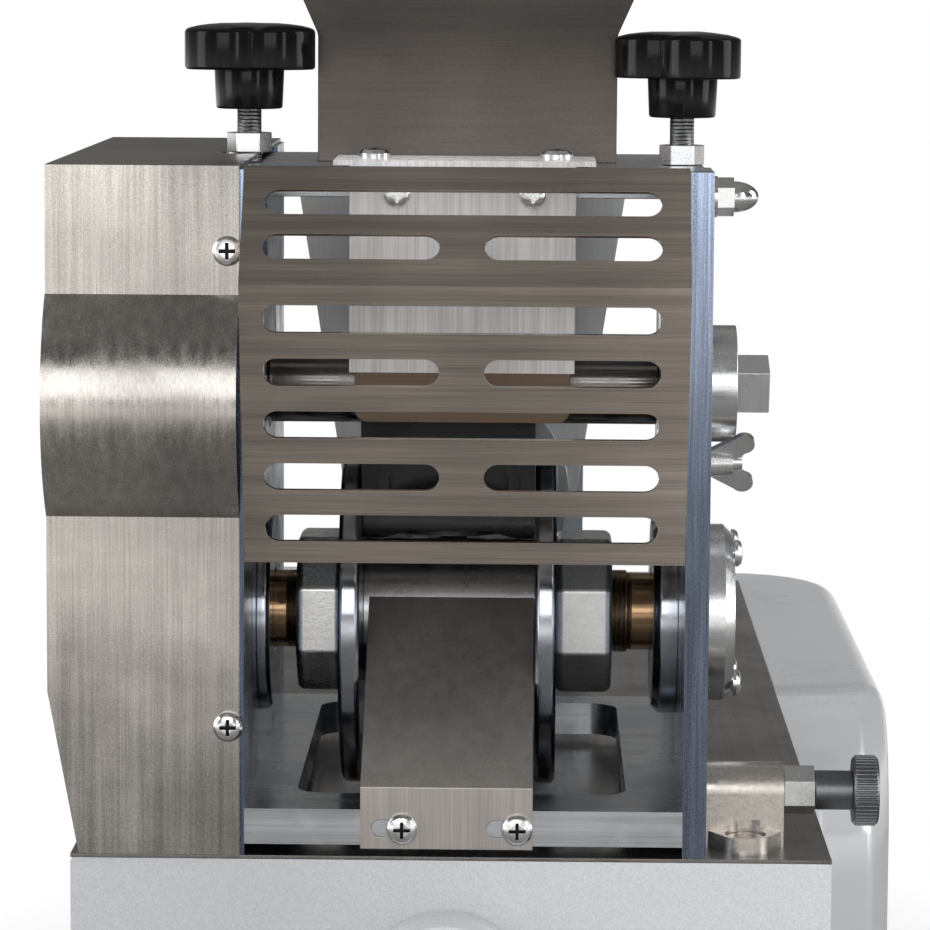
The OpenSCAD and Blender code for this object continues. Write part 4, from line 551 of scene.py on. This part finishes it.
def eased(node, finish, width, segments):
    """A merged copy of the node with its edges rounded."""
    lay_aside()
    bpy.ops.mesh.primitive_cube_add(size=1 * MM)
    obj = bpy.context.object
    obj.name = node + "_piece"
    obj.data = frame["nodes"][node].data.copy()
    obj.data.name = obj.name
    pick(obj)
    obj.location = (0, 0, 0)
    bpy.ops.object.mode_set(mode="EDIT")
    bpy.ops.mesh.select_all(action="SELECT")
    bpy.ops.mesh.remove_doubles(threshold=MERGE_GAP)
    bpy.ops.mesh.dissolve_limited(angle_limit=math.radians(FLAT_ANGLE))
    bpy.ops.mesh.normals_make_consistent(inside=False)
    bpy.ops.object.mode_set(mode="OBJECT")
    if width:
        bevelled(obj, "Rounded edges", width, segments, EDGE_ANGLE)
    bpy.ops.object.shade_smooth_by_angle(angle=math.radians(SMOOTH_ANGLE))
    even = obj.modifiers.new("Even normals", "WEIGHTED_NORMAL")
    even.keep_sharp = True
    bpy.ops.object.modifier_apply(modifier=even.name)
    finish_piece(obj, node, finish)


def second_finish(obj, finish, wanted):
    """Gives another finish to the faces that are wanted."""
    obj.data.materials.append(FINISHES[finish])
    for face in obj.data.polygons:
        if wanted(face):
            face.material_index = len(obj.data.materials) - 1


def shells(mesh):
    """The faces of each closed form in a mesh, one list for each."""
    found = []
    unseen = set(mesh.faces)
    while unseen:
        shell, todo = [], [unseen.pop()]
        while todo:
            face = todo.pop()
            shell.append(face)
            near = {other for edge in face.edges for other in edge.link_faces} & unseen
            unseen -= near
            todo.extend(near)
        found.append(shell)
    return found


# The cross of a pan head screw: how far it reaches out, its rim's height and its depth
CROSS_REACH = 3.7 * MM
CROSS_RIM = 0.9 * MM
CROSS_DEPTH = 2.8 * MM


def paint_recess_shade(obj):
    """Gives the painted shade finish to the cross of each screw of the piece: screws face forward or up."""
    obj.data.materials.append(FINISHES["recess"])
    mesh = bmesh.new()
    mesh.from_mesh(obj.data)
    for shell in shells(mesh):
        points = [vert.co for face in shell for vert in face.verts]
        low = [min(point[i] for point in points) for i in range(3)]
        high = [max(point[i] for point in points) for i in range(3)]
        along, across = (Y, Z) if high[Y] - low[Y] > high[Z] - low[Z] else (Z, Y)
        middle_x, middle = (low[X] + high[X]) / 2, (low[across] + high[across]) / 2
        for face in shell:
            centre = face.calc_center_median()
            depth = centre[Y] - low[Y] if along == Y else high[Z] - centre[Z]
            off = math.hypot(centre[X] - middle_x, centre[across] - middle)
            if off < CROSS_REACH and depth < CROSS_DEPTH and (
                    abs(face.normal[along]) < 0.5 or depth > CROSS_RIM):
                face.material_index = 1
    mesh.to_mesh(obj.data)
    mesh.free()


class PieceOperator:
    """What the piece operators share: nodes is a table of node, finish, rounding in mm and segments."""

    bl_options = {"REGISTER", "UNDO"}
    nodes = ()

    def execute(self, context):
        for node, finish, width, segments in self.nodes:
            eased(node, finish, width * MM, segments)
        return {"FINISHED"}


class MACHINE_OT_finishes(bpy.types.Operator):
    """Makes every finish from the colours in the panel"""

    bl_idname = "machine.finishes"
    bl_label = "Make the finishes"

    def execute(self, context):
        make_finishes(context.scene.machine_colours, context.scene.machine_sizes)
        return {"FINISHED"}


class MACHINE_OT_console(PieceOperator, bpy.types.Operator):
    """Console, deck, casing, floor plate and feet"""

    bl_idname = "machine.console"
    bl_label = "Console"
    nodes = (
        ("console_body", "console paint", 0.9, 3),
        ("deck_sheet", "deck sheet", 0.5, 2),
        ("rear_casing", "casing paint", 0, 1),
        ("front_boss", "console paint", 0.8, 3),
        ("floor_plate", "deck sheet", 0.5, 1),
        ("rubber_feet", "rubber", 1.0, 2),
    )


class MACHINE_OT_head_frame(PieceOperator, bpy.types.Operator):
    """Side plates, base plate and top plate of the head"""

    bl_idname = "machine.head_frame"
    bl_label = "Head frame"
    nodes = (
        ("left_side_plate", "ground steel", 0.5, 2),
        ("right_side_plate", "ground steel", 0.5, 2),
        ("head_base_plate", "milled aluminium", 1.0, 3),
        ("head_top_plate", "milled aluminium", 0.6, 2),
        ("frame_bolts", "black steel", 0.5, 2),
    )

    def execute(self, context):
        super().execute(context)
        for node in ("left_side_plate", "right_side_plate"):
            second_finish(piece_of(node), "plate edge", lambda face: face.normal.y < -0.98)
        return {"FINISHED"}


class MACHINE_OT_sheets(PieceOperator, bpy.types.Operator):
    """Gear cover, guard, hopper, die cover and chute"""

    bl_idname = "machine.sheets"
    bl_label = "Sheets"
    nodes = (
        ("gear_cover", "cover sheet", 0.5, 2),
        ("guard", "guard sheet", 0.35, 2),
        ("hopper", "hopper sheet", 0.3, 2),
        ("die_cover_sheet", "lit sheet", 0.4, 2),
        ("chute_plate", "chute sheet", 0.4, 2),
        ("die_wiper", "laminate", 0.4, 2),
    )

    def execute(self, context):
        super().execute(context)
        # painted shade: the cover's upward faces take the darker copy of its sheet
        second_finish(piece_of("gear_cover"), "cover top shade", lambda face: face.normal.z > 0.9)
        return {"FINISHED"}


class MACHINE_OT_fasteners(PieceOperator, bpy.types.Operator):
    """Screws, nuts and bolts"""

    bl_idname = "machine.fasteners"
    bl_label = "Fasteners"
    nodes = (
        ("gear_cover_screws", "zinc", 0.3, 2),
        ("bracket_screws", "zinc", 0.3, 2),
        ("chute_screws", "zinc", 0.3, 2),
        ("housing_screws", "zinc", 0.3, 2),
        ("guard_pivot_bolts", "zinc", 0.3, 2),
        ("cap_nuts", "zinc", 0.4, 2),
        ("guard_bolt", "zinc", 0.3, 2),
        ("wing_nut", "zinc", 0.7, 3),
        ("left_lock_nut", "zinc", 0.6, 2),
        ("right_lock_nut", "zinc", 0.6, 2),
        ("left_pressure_stud", "stud thread", 0.3, 1),
        ("right_pressure_stud", "stud thread", 0.3, 1),
    )

    def execute(self, context):
        super().execute(context)
        for node in ("gear_cover_screws", "chute_screws", "bracket_screws"):
            paint_recess_shade(piece_of(node))
        return {"FINISHED"}


class MACHINE_OT_rollers(PieceOperator, bpy.types.Operator):
    """Both rollers with their shafts, discs, nuts and bearings"""

    bl_idname = "machine.rollers"
    bl_label = "Rollers"
    nodes = (
        ("lower_shaft", "shaft bronze", 0.5, 2),
        ("lower_roller", "roller steel", 0.3, 2),
        ("left_side_disc", "turned steel", 0.5, 2),
        ("right_side_disc", "turned steel", 0.5, 2),
        ("clamp_nuts", "nut zinc", 1.2, 3),
        ("inner_flanges", "turned steel", 0.6, 2),
        ("bearing_housings", "zinc", 0.9, 3),
        ("lower_bushes", "bronze", 0.3, 1),
        ("upper_shaft", "dark shaft", 0.7, 2),
        ("die_roller", "die polymer", 0.6, 2),
        ("left_bearing_block", "zinc", 0.6, 2),
        ("right_bearing_block", "zinc", 0.6, 2),
        ("upper_bushes", "bronze", 0.3, 1),
    )

    square_from = place(118, 0, 0).x

    def execute(self, context):
        super().execute(context)
        second_finish(piece_of("upper_shaft"), "square end", lambda face: face.center.x > self.square_from)
        return {"FINISHED"}


class MACHINE_OT_gears(PieceOperator, bpy.types.Operator):
    """Gear train, reducer and extruder"""

    bl_idname = "machine.gears"
    bl_label = "Drive and extruder"
    nodes = (
        ("lower_gear", "gear steel", 0, 1),
        ("upper_gear", "gear steel", 0, 1),
        ("idler_gear", "gear steel", 0, 1),
        ("main_gear", "gear steel", 0, 1),
        ("drive_pinion", "gear steel", 0, 1),
        ("idler_pin", "roller steel", 0.5, 2),
        ("lay_shaft_carrier", "cast iron", 1.2, 2),
        ("reducer_motor", "machine grey", 1.0, 2),
        ("extruder_barrel", "extruder steel", 0.8, 2),
        ("extruder_screw", "roller steel", 0, 1),
        ("extruder_drive", "machine grey", 2.0, 3),
    )


class MACHINE_OT_plunger(PieceOperator, bpy.types.Operator):
    """Index plunger and its bracket"""

    bl_idname = "machine.plunger"
    bl_label = "Index plunger"
    nodes = (
        ("plunger_bracket", "tumbled casting", 0.9, 3),
        ("plunger_body", "zinc", 0.5, 2),
        ("plunger_pin", "dark plated", 0.4, 2),
        ("plunger_knob", "dark plated", 0.25, 1),
        ("plunger_spring", "zinc", 0, 1),
    )


# Each star knob's middle in mm and the turn of its first lobe in degrees, as in the photograph
KNOBS = {"left_star_knob": (-86.0, 110.0, 97.0), "right_star_knob": (90.7, 110.0, 64.0)}
LOBE_ANGLE = 120
LOBE_SHARE = 0.607  # the lobe's radius as a share of the knob's
LOBE_FOOT = 16 * MM
CROWN_DROP = 2.8 * MM
CROWN_STEPS = ((2.2, 0.9), (3.2, 0.8), (4.5, 0.6), (5.0, 0.4))  # inwards and up, in mm
MOULDED_ANGLE = 50
RIM_ROUNDING = 3.2 * MM
HUB_RADIUS = 14.3 * MM
HUB_HEIGHT = 17 * MM
HUB_TAPER = 0.95
HUB_WALL = 3.5 * MM
HUB_HOLLOW = 2 * MM
FOOT_ROUNDING = 1.2 * MM
KNOB_SMOOTH = 40


def blank(radius, low, high, sides, centre):
    """A round blank between two heights."""
    lay_aside()
    bpy.ops.mesh.primitive_cylinder_add(
        vertices=sides, radius=radius, depth=high - low, end_fill_type="NGON",
        location=(centre.x, centre.y, (low + high) / 2))
    bpy.ops.object.transform_apply(location=True)
    return bpy.context.object


def select_end(obj, upper):
    """Enters edit mode with the blank's upper or lower end selected."""
    bpy.ops.object.mode_set(mode="EDIT")
    bpy.ops.mesh.select_mode(type="FACE")
    bpy.ops.mesh.select_all(action="DESELECT")
    mesh = bmesh.from_edit_mesh(obj.data)
    end = (max if upper else min)(mesh.faces, key=lambda face: face.calc_center_median().z)
    end.select = True
    mesh.faces.active = end
    bmesh.update_edit_mesh(obj.data)


def draw_lobes(obj, radius, centre, turn):
    """Draws the blank's rim into lobes."""
    lobe_radius = radius * LOBE_SHARE
    lobe_out = radius - lobe_radius
    for vertex in obj.data.vertices:
        arm = Vector((vertex.co.x - centre.x, vertex.co.y - centre.y))
        angle = math.degrees(math.atan2(arm.y, arm.x) - math.radians(turn))
        nearest = math.radians((angle + LOBE_ANGLE / 2) % LOBE_ANGLE - LOBE_ANGLE / 2)
        across = lobe_out * math.sin(nearest)
        reach = lobe_out * math.cos(nearest) + math.sqrt(lobe_radius ** 2 - across ** 2)
        arm = arm.normalized() * min(radius, reach)
        vertex.co.x, vertex.co.y = centre.x + arm.x, centre.y + arm.y


def star_knob(node, finish, radius):
    """A moulded star knob: a round blank whose rim is drawn into three lobes, on a hub."""
    low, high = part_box(node)
    middle_x, middle_y, turn = KNOBS[node]
    centre = place(middle_x, middle_y, 0)
    rim = blank(radius, low[Z] + LOBE_FOOT, high[Z] - CROWN_DROP, 180, centre)
    rim.name = node + "_piece"
    draw_lobes(rim, radius, centre, turn)
    select_end(rim, upper=True)
    for inset, lift in CROWN_STEPS:
        bpy.ops.mesh.inset(thickness=inset * MM, depth=0, use_even_offset=False)
        bpy.ops.transform.translate(value=(0, 0, lift * MM))
    bpy.ops.object.mode_set(mode="OBJECT")
    bevelled(rim, "Moulded rim", RIM_ROUNDING, 5, MOULDED_ANGLE)
    # the hub narrows to its foot, which is a little hollow
    hub = blank(HUB_RADIUS, low[Z], low[Z] + HUB_HEIGHT, 72, centre)
    select_end(hub, upper=False)
    bpy.ops.transform.resize(value=(HUB_TAPER, HUB_TAPER, 1), center_override=(centre.x, centre.y, low[Z]))
    bpy.ops.mesh.inset(thickness=HUB_WALL, depth=0)
    bpy.ops.mesh.extrude_region_move(TRANSFORM_OT_translate={"value": (0, 0, HUB_HOLLOW)})
    bpy.ops.mesh.select_all(action="SELECT")
    bpy.ops.mesh.normals_make_consistent(inside=False)
    bpy.ops.object.mode_set(mode="OBJECT")
    bevelled(hub, "Rounded foot", FOOT_ROUNDING, 3, MOULDED_ANGLE)
    pick(rim)
    hub.select_set(True)
    bpy.ops.object.join()
    bpy.ops.object.shade_smooth_by_angle(angle=math.radians(KNOB_SMOOTH))
    finish_piece(rim, node, finish)


class MACHINE_OT_star_knobs(bpy.types.Operator):
    """Both moulded star knobs"""

    bl_idname = "machine.star_knobs"
    bl_label = "Star knobs"

    def execute(self, context):
        for node in KNOBS:
            star_knob(node, "knob plastic", context.scene.machine_sizes.knob_radius)
        return {"FINISHED"}


# ---------------------------------------------------------------- studio


FLOOR_SIZE = 200
FLOOR_DROP = 0.5 * MM
FLOOR_GREY = 0.86
FLOOR_DEPTH_SHARE = 0.55
# The floor turns plain white between these distances from the middle, shorter across than in depth
WHITE_FROM = 0.26
WHITE_AT = 0.46

LAMP_TARGET = (0, -0.2, 0.38)
# Name, centre, width and height in metres, and the setting that holds the power
LAMPS = (
    ("Top lamp", (0.1, 0.9, 2.2), 1.4, 1.4, "top_light"),
    ("Left lamp", (-1.9, -0.9, 0.9), 0.9, 1.6, "side_light"),
    ("Right lamp", (1.9, -0.5, 1.0), 0.9, 1.6, "side_light"),
    ("Front lamp", (-0.3, -2.4, 0.95), 1.3, 0.8, "front_light"),
    ("Strip lamp", (1.1, -2.1, 1.0), 0.3, 1.4, "strip_light"),
)

CARD_RADIUS = 3.4
CARD_TOP = 3.2
CARD_FLOOR = -0.3 * MM
CARD_SIDES = 96
CARD_TINT = (1.0, 0.98, 0.95)
CARD_LEFT, CARD_RIGHT = 1.35, 0.65
CARD_PATCH_SCALE = 0.9
# Shades by the share of the wall's height, or of the disc's radius
WALL_SHADES = ((0.0, 1.4), (0.06, 1.2), (0.13, 0.6), (0.22, 0.24), (0.5, 0.12), (1.0, 0.16))
FLOOR_SHADES = ((0.0, 0.15), (0.2, 0.17), (0.5, 0.38), (0.8, 0.9), (1.0, 1.4))
CEILING_SHADES = ((0.0, 0.22), (1.0, 0.22))

SENSOR_WIDTH = 36.0
CAMERA_PLACE = (29.58, -1528, 593.09)
YAW, PITCH, ROLL = 0.931, 7.055, 0.35


def white_for_lens(tree, shader_output, other):
    """A mix that shows the first shader to the lens and to mirrors, and the other to the light."""
    path = tree.nodes.new("ShaderNodeLightPath")
    seen = math_node(tree, "MAXIMUM", path.outputs["Is Camera Ray"], path.outputs["Is Glossy Ray"])
    seen = math_node(tree, "MAXIMUM", seen, path.outputs["Is Transmission Ray"])
    mix = tree.nodes.new("ShaderNodeMixShader")
    tree.links.new(seen, mix.inputs[0])
    tree.links.new(other, mix.inputs[1])
    tree.links.new(shader_output, mix.inputs[2])
    return mix.outputs[0]


def white_background(tree, strength):
    node = tree.nodes.new("ShaderNodeBackground")
    node.inputs["Color"].default_value = (1, 1, 1, 1)
    node.inputs["Strength"].default_value = strength
    return node.outputs[0]


def make_world(scene, ambient):
    """White to the lens and to mirrors, and an even light to all else."""
    world = bpy.data.worlds.new("Studio")
    scene.world = world
    world.use_nodes = True
    tree = world.node_tree
    tree.nodes.clear()
    out = tree.nodes.new("ShaderNodeOutputWorld")
    tree.links.new(white_for_lens(tree, white_background(tree, 1.0), white_background(tree, ambient)),
                   out.inputs["Surface"])


def make_floor():
    """A pale floor that takes the shadow and turns white away from the machine."""
    lay_aside()
    bpy.ops.mesh.primitive_plane_add(size=FLOOR_SIZE, location=(0, 0, -FLOOR_DROP))
    floor = bpy.context.object
    floor.name = "studio_floor"
    bpy.ops.object.transform_apply(location=True, rotation=True, scale=True)
    material = bpy.data.materials.new("Pale floor")
    material.use_nodes = True
    tree = material.node_tree
    matt = tree.nodes["Principled BSDF"]
    matt.inputs["Base Color"].default_value = (FLOOR_GREY, FLOOR_GREY, FLOOR_GREY, 1)
    matt.inputs["Roughness"].default_value = 0.9
    matt.inputs["Specular IOR Level"].default_value = 0.1
    narrow = tree.nodes.new("ShaderNodeMapping")
    narrow.inputs["Scale"].default_value = (1.0, FLOOR_DEPTH_SHARE, 1.0)
    tree.links.new(tree.nodes.new("ShaderNodeTexCoord").outputs["Object"], narrow.inputs["Vector"])
    far = spread(tree, length_of(tree, narrow.outputs["Vector"]), WHITE_FROM, WHITE_AT)
    glow = tree.nodes.new("ShaderNodeEmission")
    blend = tree.nodes.new("ShaderNodeMixShader")
    tree.links.new(far, blend.inputs[0])
    tree.links.new(matt.outputs[0], blend.inputs[1])
    tree.links.new(glow.outputs[0], blend.inputs[2])
    out = tree.nodes["Material Output"]
    tree.links.new(white_for_lens(tree, blend.outputs[0], matt.outputs[0]), out.inputs["Surface"])
    floor.data.materials.append(material)


def glow_panel(name, centre, width, height, power):
    """A rectangular lamp that aims at the machine's head."""
    lamp = bpy.data.lights.new(name, "AREA")
    lamp.shape = "RECTANGLE"
    lamp.size, lamp.size_y = width, height
    lamp.energy = power
    obj = bpy.data.objects.new(name, lamp)
    bpy.context.scene.collection.objects.link(obj)
    obj.location = centre
    obj.rotation_euler = (Vector(LAMP_TARGET) - Vector(centre)).to_track_quat("-Z", "Y").to_euler()
    return obj


def make_lamps(settings):
    for name, centre, width, height, power in LAMPS:
        lamp = glow_panel(name, centre, width, height, getattr(settings, power))
        # sheets that lean back would mirror the lamp above
        lamp.visible_glossy = name != "Top lamp"


def card_material(name, stops, low, high):
    """Glows in these shades up a wall, or outwards on a disc where the two heights are one."""
    material = bpy.data.materials.new(name)
    material.use_nodes = True
    tree = material.node_tree
    tree.nodes.clear()
    coords = tree.nodes.new("ShaderNodeTexCoord").outputs["Object"]
    if high > low:
        share = spread(tree, along_axis(tree, coords, Z), low, high)
    else:
        share = spread(tree, length_of(tree, coords), 0, CARD_RADIUS)
    ramp = tree.nodes.new("ShaderNodeValToRGB")
    while len(ramp.color_ramp.elements) < len(stops):
        ramp.color_ramp.elements.new(1.0)
    for element, (level, shade) in zip(ramp.color_ramp.elements, stops):
        element.position = level
        element.color = (*(shade * tint for tint in CARD_TINT), 1)
    tree.links.new(share, ramp.inputs[0])
    patches = spread(tree, noise(tree, coords, CARD_PATCH_SCALE, 1.0), 0.35, 0.65, 0.8, 1.2)
    sides = spread(tree, along_axis(tree, coords, X), -CARD_RADIUS, CARD_RADIUS, CARD_LEFT, CARD_RIGHT)
    glow = tree.nodes.new("ShaderNodeEmission")
    tree.links.new(ramp.outputs[0], glow.inputs["Color"])
    tree.links.new(math_node(tree, "MULTIPLY", patches, sides), glow.inputs["Strength"])
    out = tree.nodes.new("ShaderNodeOutputMaterial")
    tree.links.new(glow.outputs[0], out.inputs["Surface"])
    return material


def mirror_card(name, stops, low, high):
    """A round wall between two heights, or a disc where they are one, that only mirrors see.

    It gives bright metal its dark side.
    """
    lay_aside()
    if high > low:
        bpy.ops.mesh.primitive_cylinder_add(vertices=CARD_SIDES, radius=CARD_RADIUS, depth=high - low,
                                            end_fill_type="NOTHING", location=(0, 0, (low + high) / 2))
    else:
        bpy.ops.mesh.primitive_circle_add(vertices=CARD_SIDES, radius=CARD_RADIUS, fill_type="NGON",
                                          location=(0, 0, low))
    card = bpy.context.object
    card.name = name
    bpy.ops.object.transform_apply(location=True, rotation=True, scale=True)
    card.data.materials.append(card_material(name, stops, low, high))
    card.visible_camera = False
    card.visible_diffuse = False
    card.visible_shadow = False
    card.visible_transmission = False


def make_camera(scene, lens):
    """The photograph's camera: its place and angles were found from straight edges in the photograph."""
    data = bpy.data.cameras.new("Camera")
    data.sensor_width = SENSOR_WIDTH
    data.lens = lens
    data.clip_start = 0.05
    data.clip_end = 400
    camera = bpy.data.objects.new("Camera", data)
    scene.collection.objects.link(camera)
    yaw, pitch, roll = math.radians(YAW), math.radians(PITCH), math.radians(ROLL)
    ahead = Vector((-math.sin(yaw) * math.cos(pitch), math.cos(yaw) * math.cos(pitch), -math.sin(pitch)))
    right = Vector((math.cos(yaw), math.sin(yaw), 0))
    up = right.cross(ahead)
    tilted = right * math.cos(roll) + up * math.sin(roll)
    upper = up * math.cos(roll) - right * math.sin(roll)
    camera.matrix_world = Matrix.Translation(place(*CAMERA_PLACE)) @ Matrix(
        (tilted, upper, -ahead)).transposed().to_4x4()
    scene.camera = camera


class MACHINE_OT_studio(bpy.types.Operator):
    """Floor, background, lamps, cards and camera"""

    bl_idname = "machine.studio"
    bl_label = "Studio"

    def execute(self, context):
        scene = context.scene
        settings = scene.studio_settings
        scene.view_settings.view_transform = "Standard"
        make_world(scene, settings.ambient)
        make_floor()
        make_lamps(settings)
        mirror_card("card_wall", WALL_SHADES, 0, CARD_TOP)
        mirror_card("card_floor", FLOOR_SHADES, CARD_FLOOR, CARD_FLOOR)
        mirror_card("card_ceiling", CEILING_SHADES, CARD_TOP, CARD_TOP)
        make_camera(scene, settings.lens)
        return {"FINISHED"}


class MACHINE_PT_panel(bpy.types.Panel):
    """The machine's settings and steps"""

    bl_idname = "MACHINE_PT_panel"
    bl_label = "Dumpling machine"
    bl_space_type = "VIEW_3D"
    bl_region_type = "UI"
    bl_category = "Machine"

    def draw(self, context):
        for settings in (context.scene.machine_colours, context.scene.machine_sizes,
                         context.scene.studio_settings):
            box = self.layout.box()
            for key in settings.__annotations__:
                box.prop(settings, key)
        for operator in OPERATORS:
            self.layout.operator(operator.bl_idname)


OPERATORS = (
    MACHINE_OT_finishes,
    MACHINE_OT_console,
    MACHINE_OT_head_frame,
    MACHINE_OT_sheets,
    MACHINE_OT_fasteners,
    MACHINE_OT_rollers,
    MACHINE_OT_gears,
    MACHINE_OT_plunger,
    MACHINE_OT_star_knobs,
    MACHINE_OT_studio,
)
CLASSES = (MachineColours, MachineSizes, StudioSettings, *OPERATORS, MACHINE_PT_panel)


def register():
    for made in CLASSES:
        bpy.utils.register_class(made)
    bpy.types.Scene.machine_colours = bpy.props.PointerProperty(type=MachineColours)
    bpy.types.Scene.machine_sizes = bpy.props.PointerProperty(type=MachineSizes)
    bpy.types.Scene.studio_settings = bpy.props.PointerProperty(type=StudioSettings)


def unregister():
    del bpy.types.Scene.studio_settings
    del bpy.types.Scene.machine_sizes
    del bpy.types.Scene.machine_colours
    for made in reversed(CLASSES):
        bpy.utils.unregister_class(made)


def main():
    register()
    for operator in OPERATORS:
        group, name = operator.bl_idname.split(".")
        getattr(getattr(bpy.ops, group), name)()
    lay_aside()


if __name__ == "__main__":
    main()
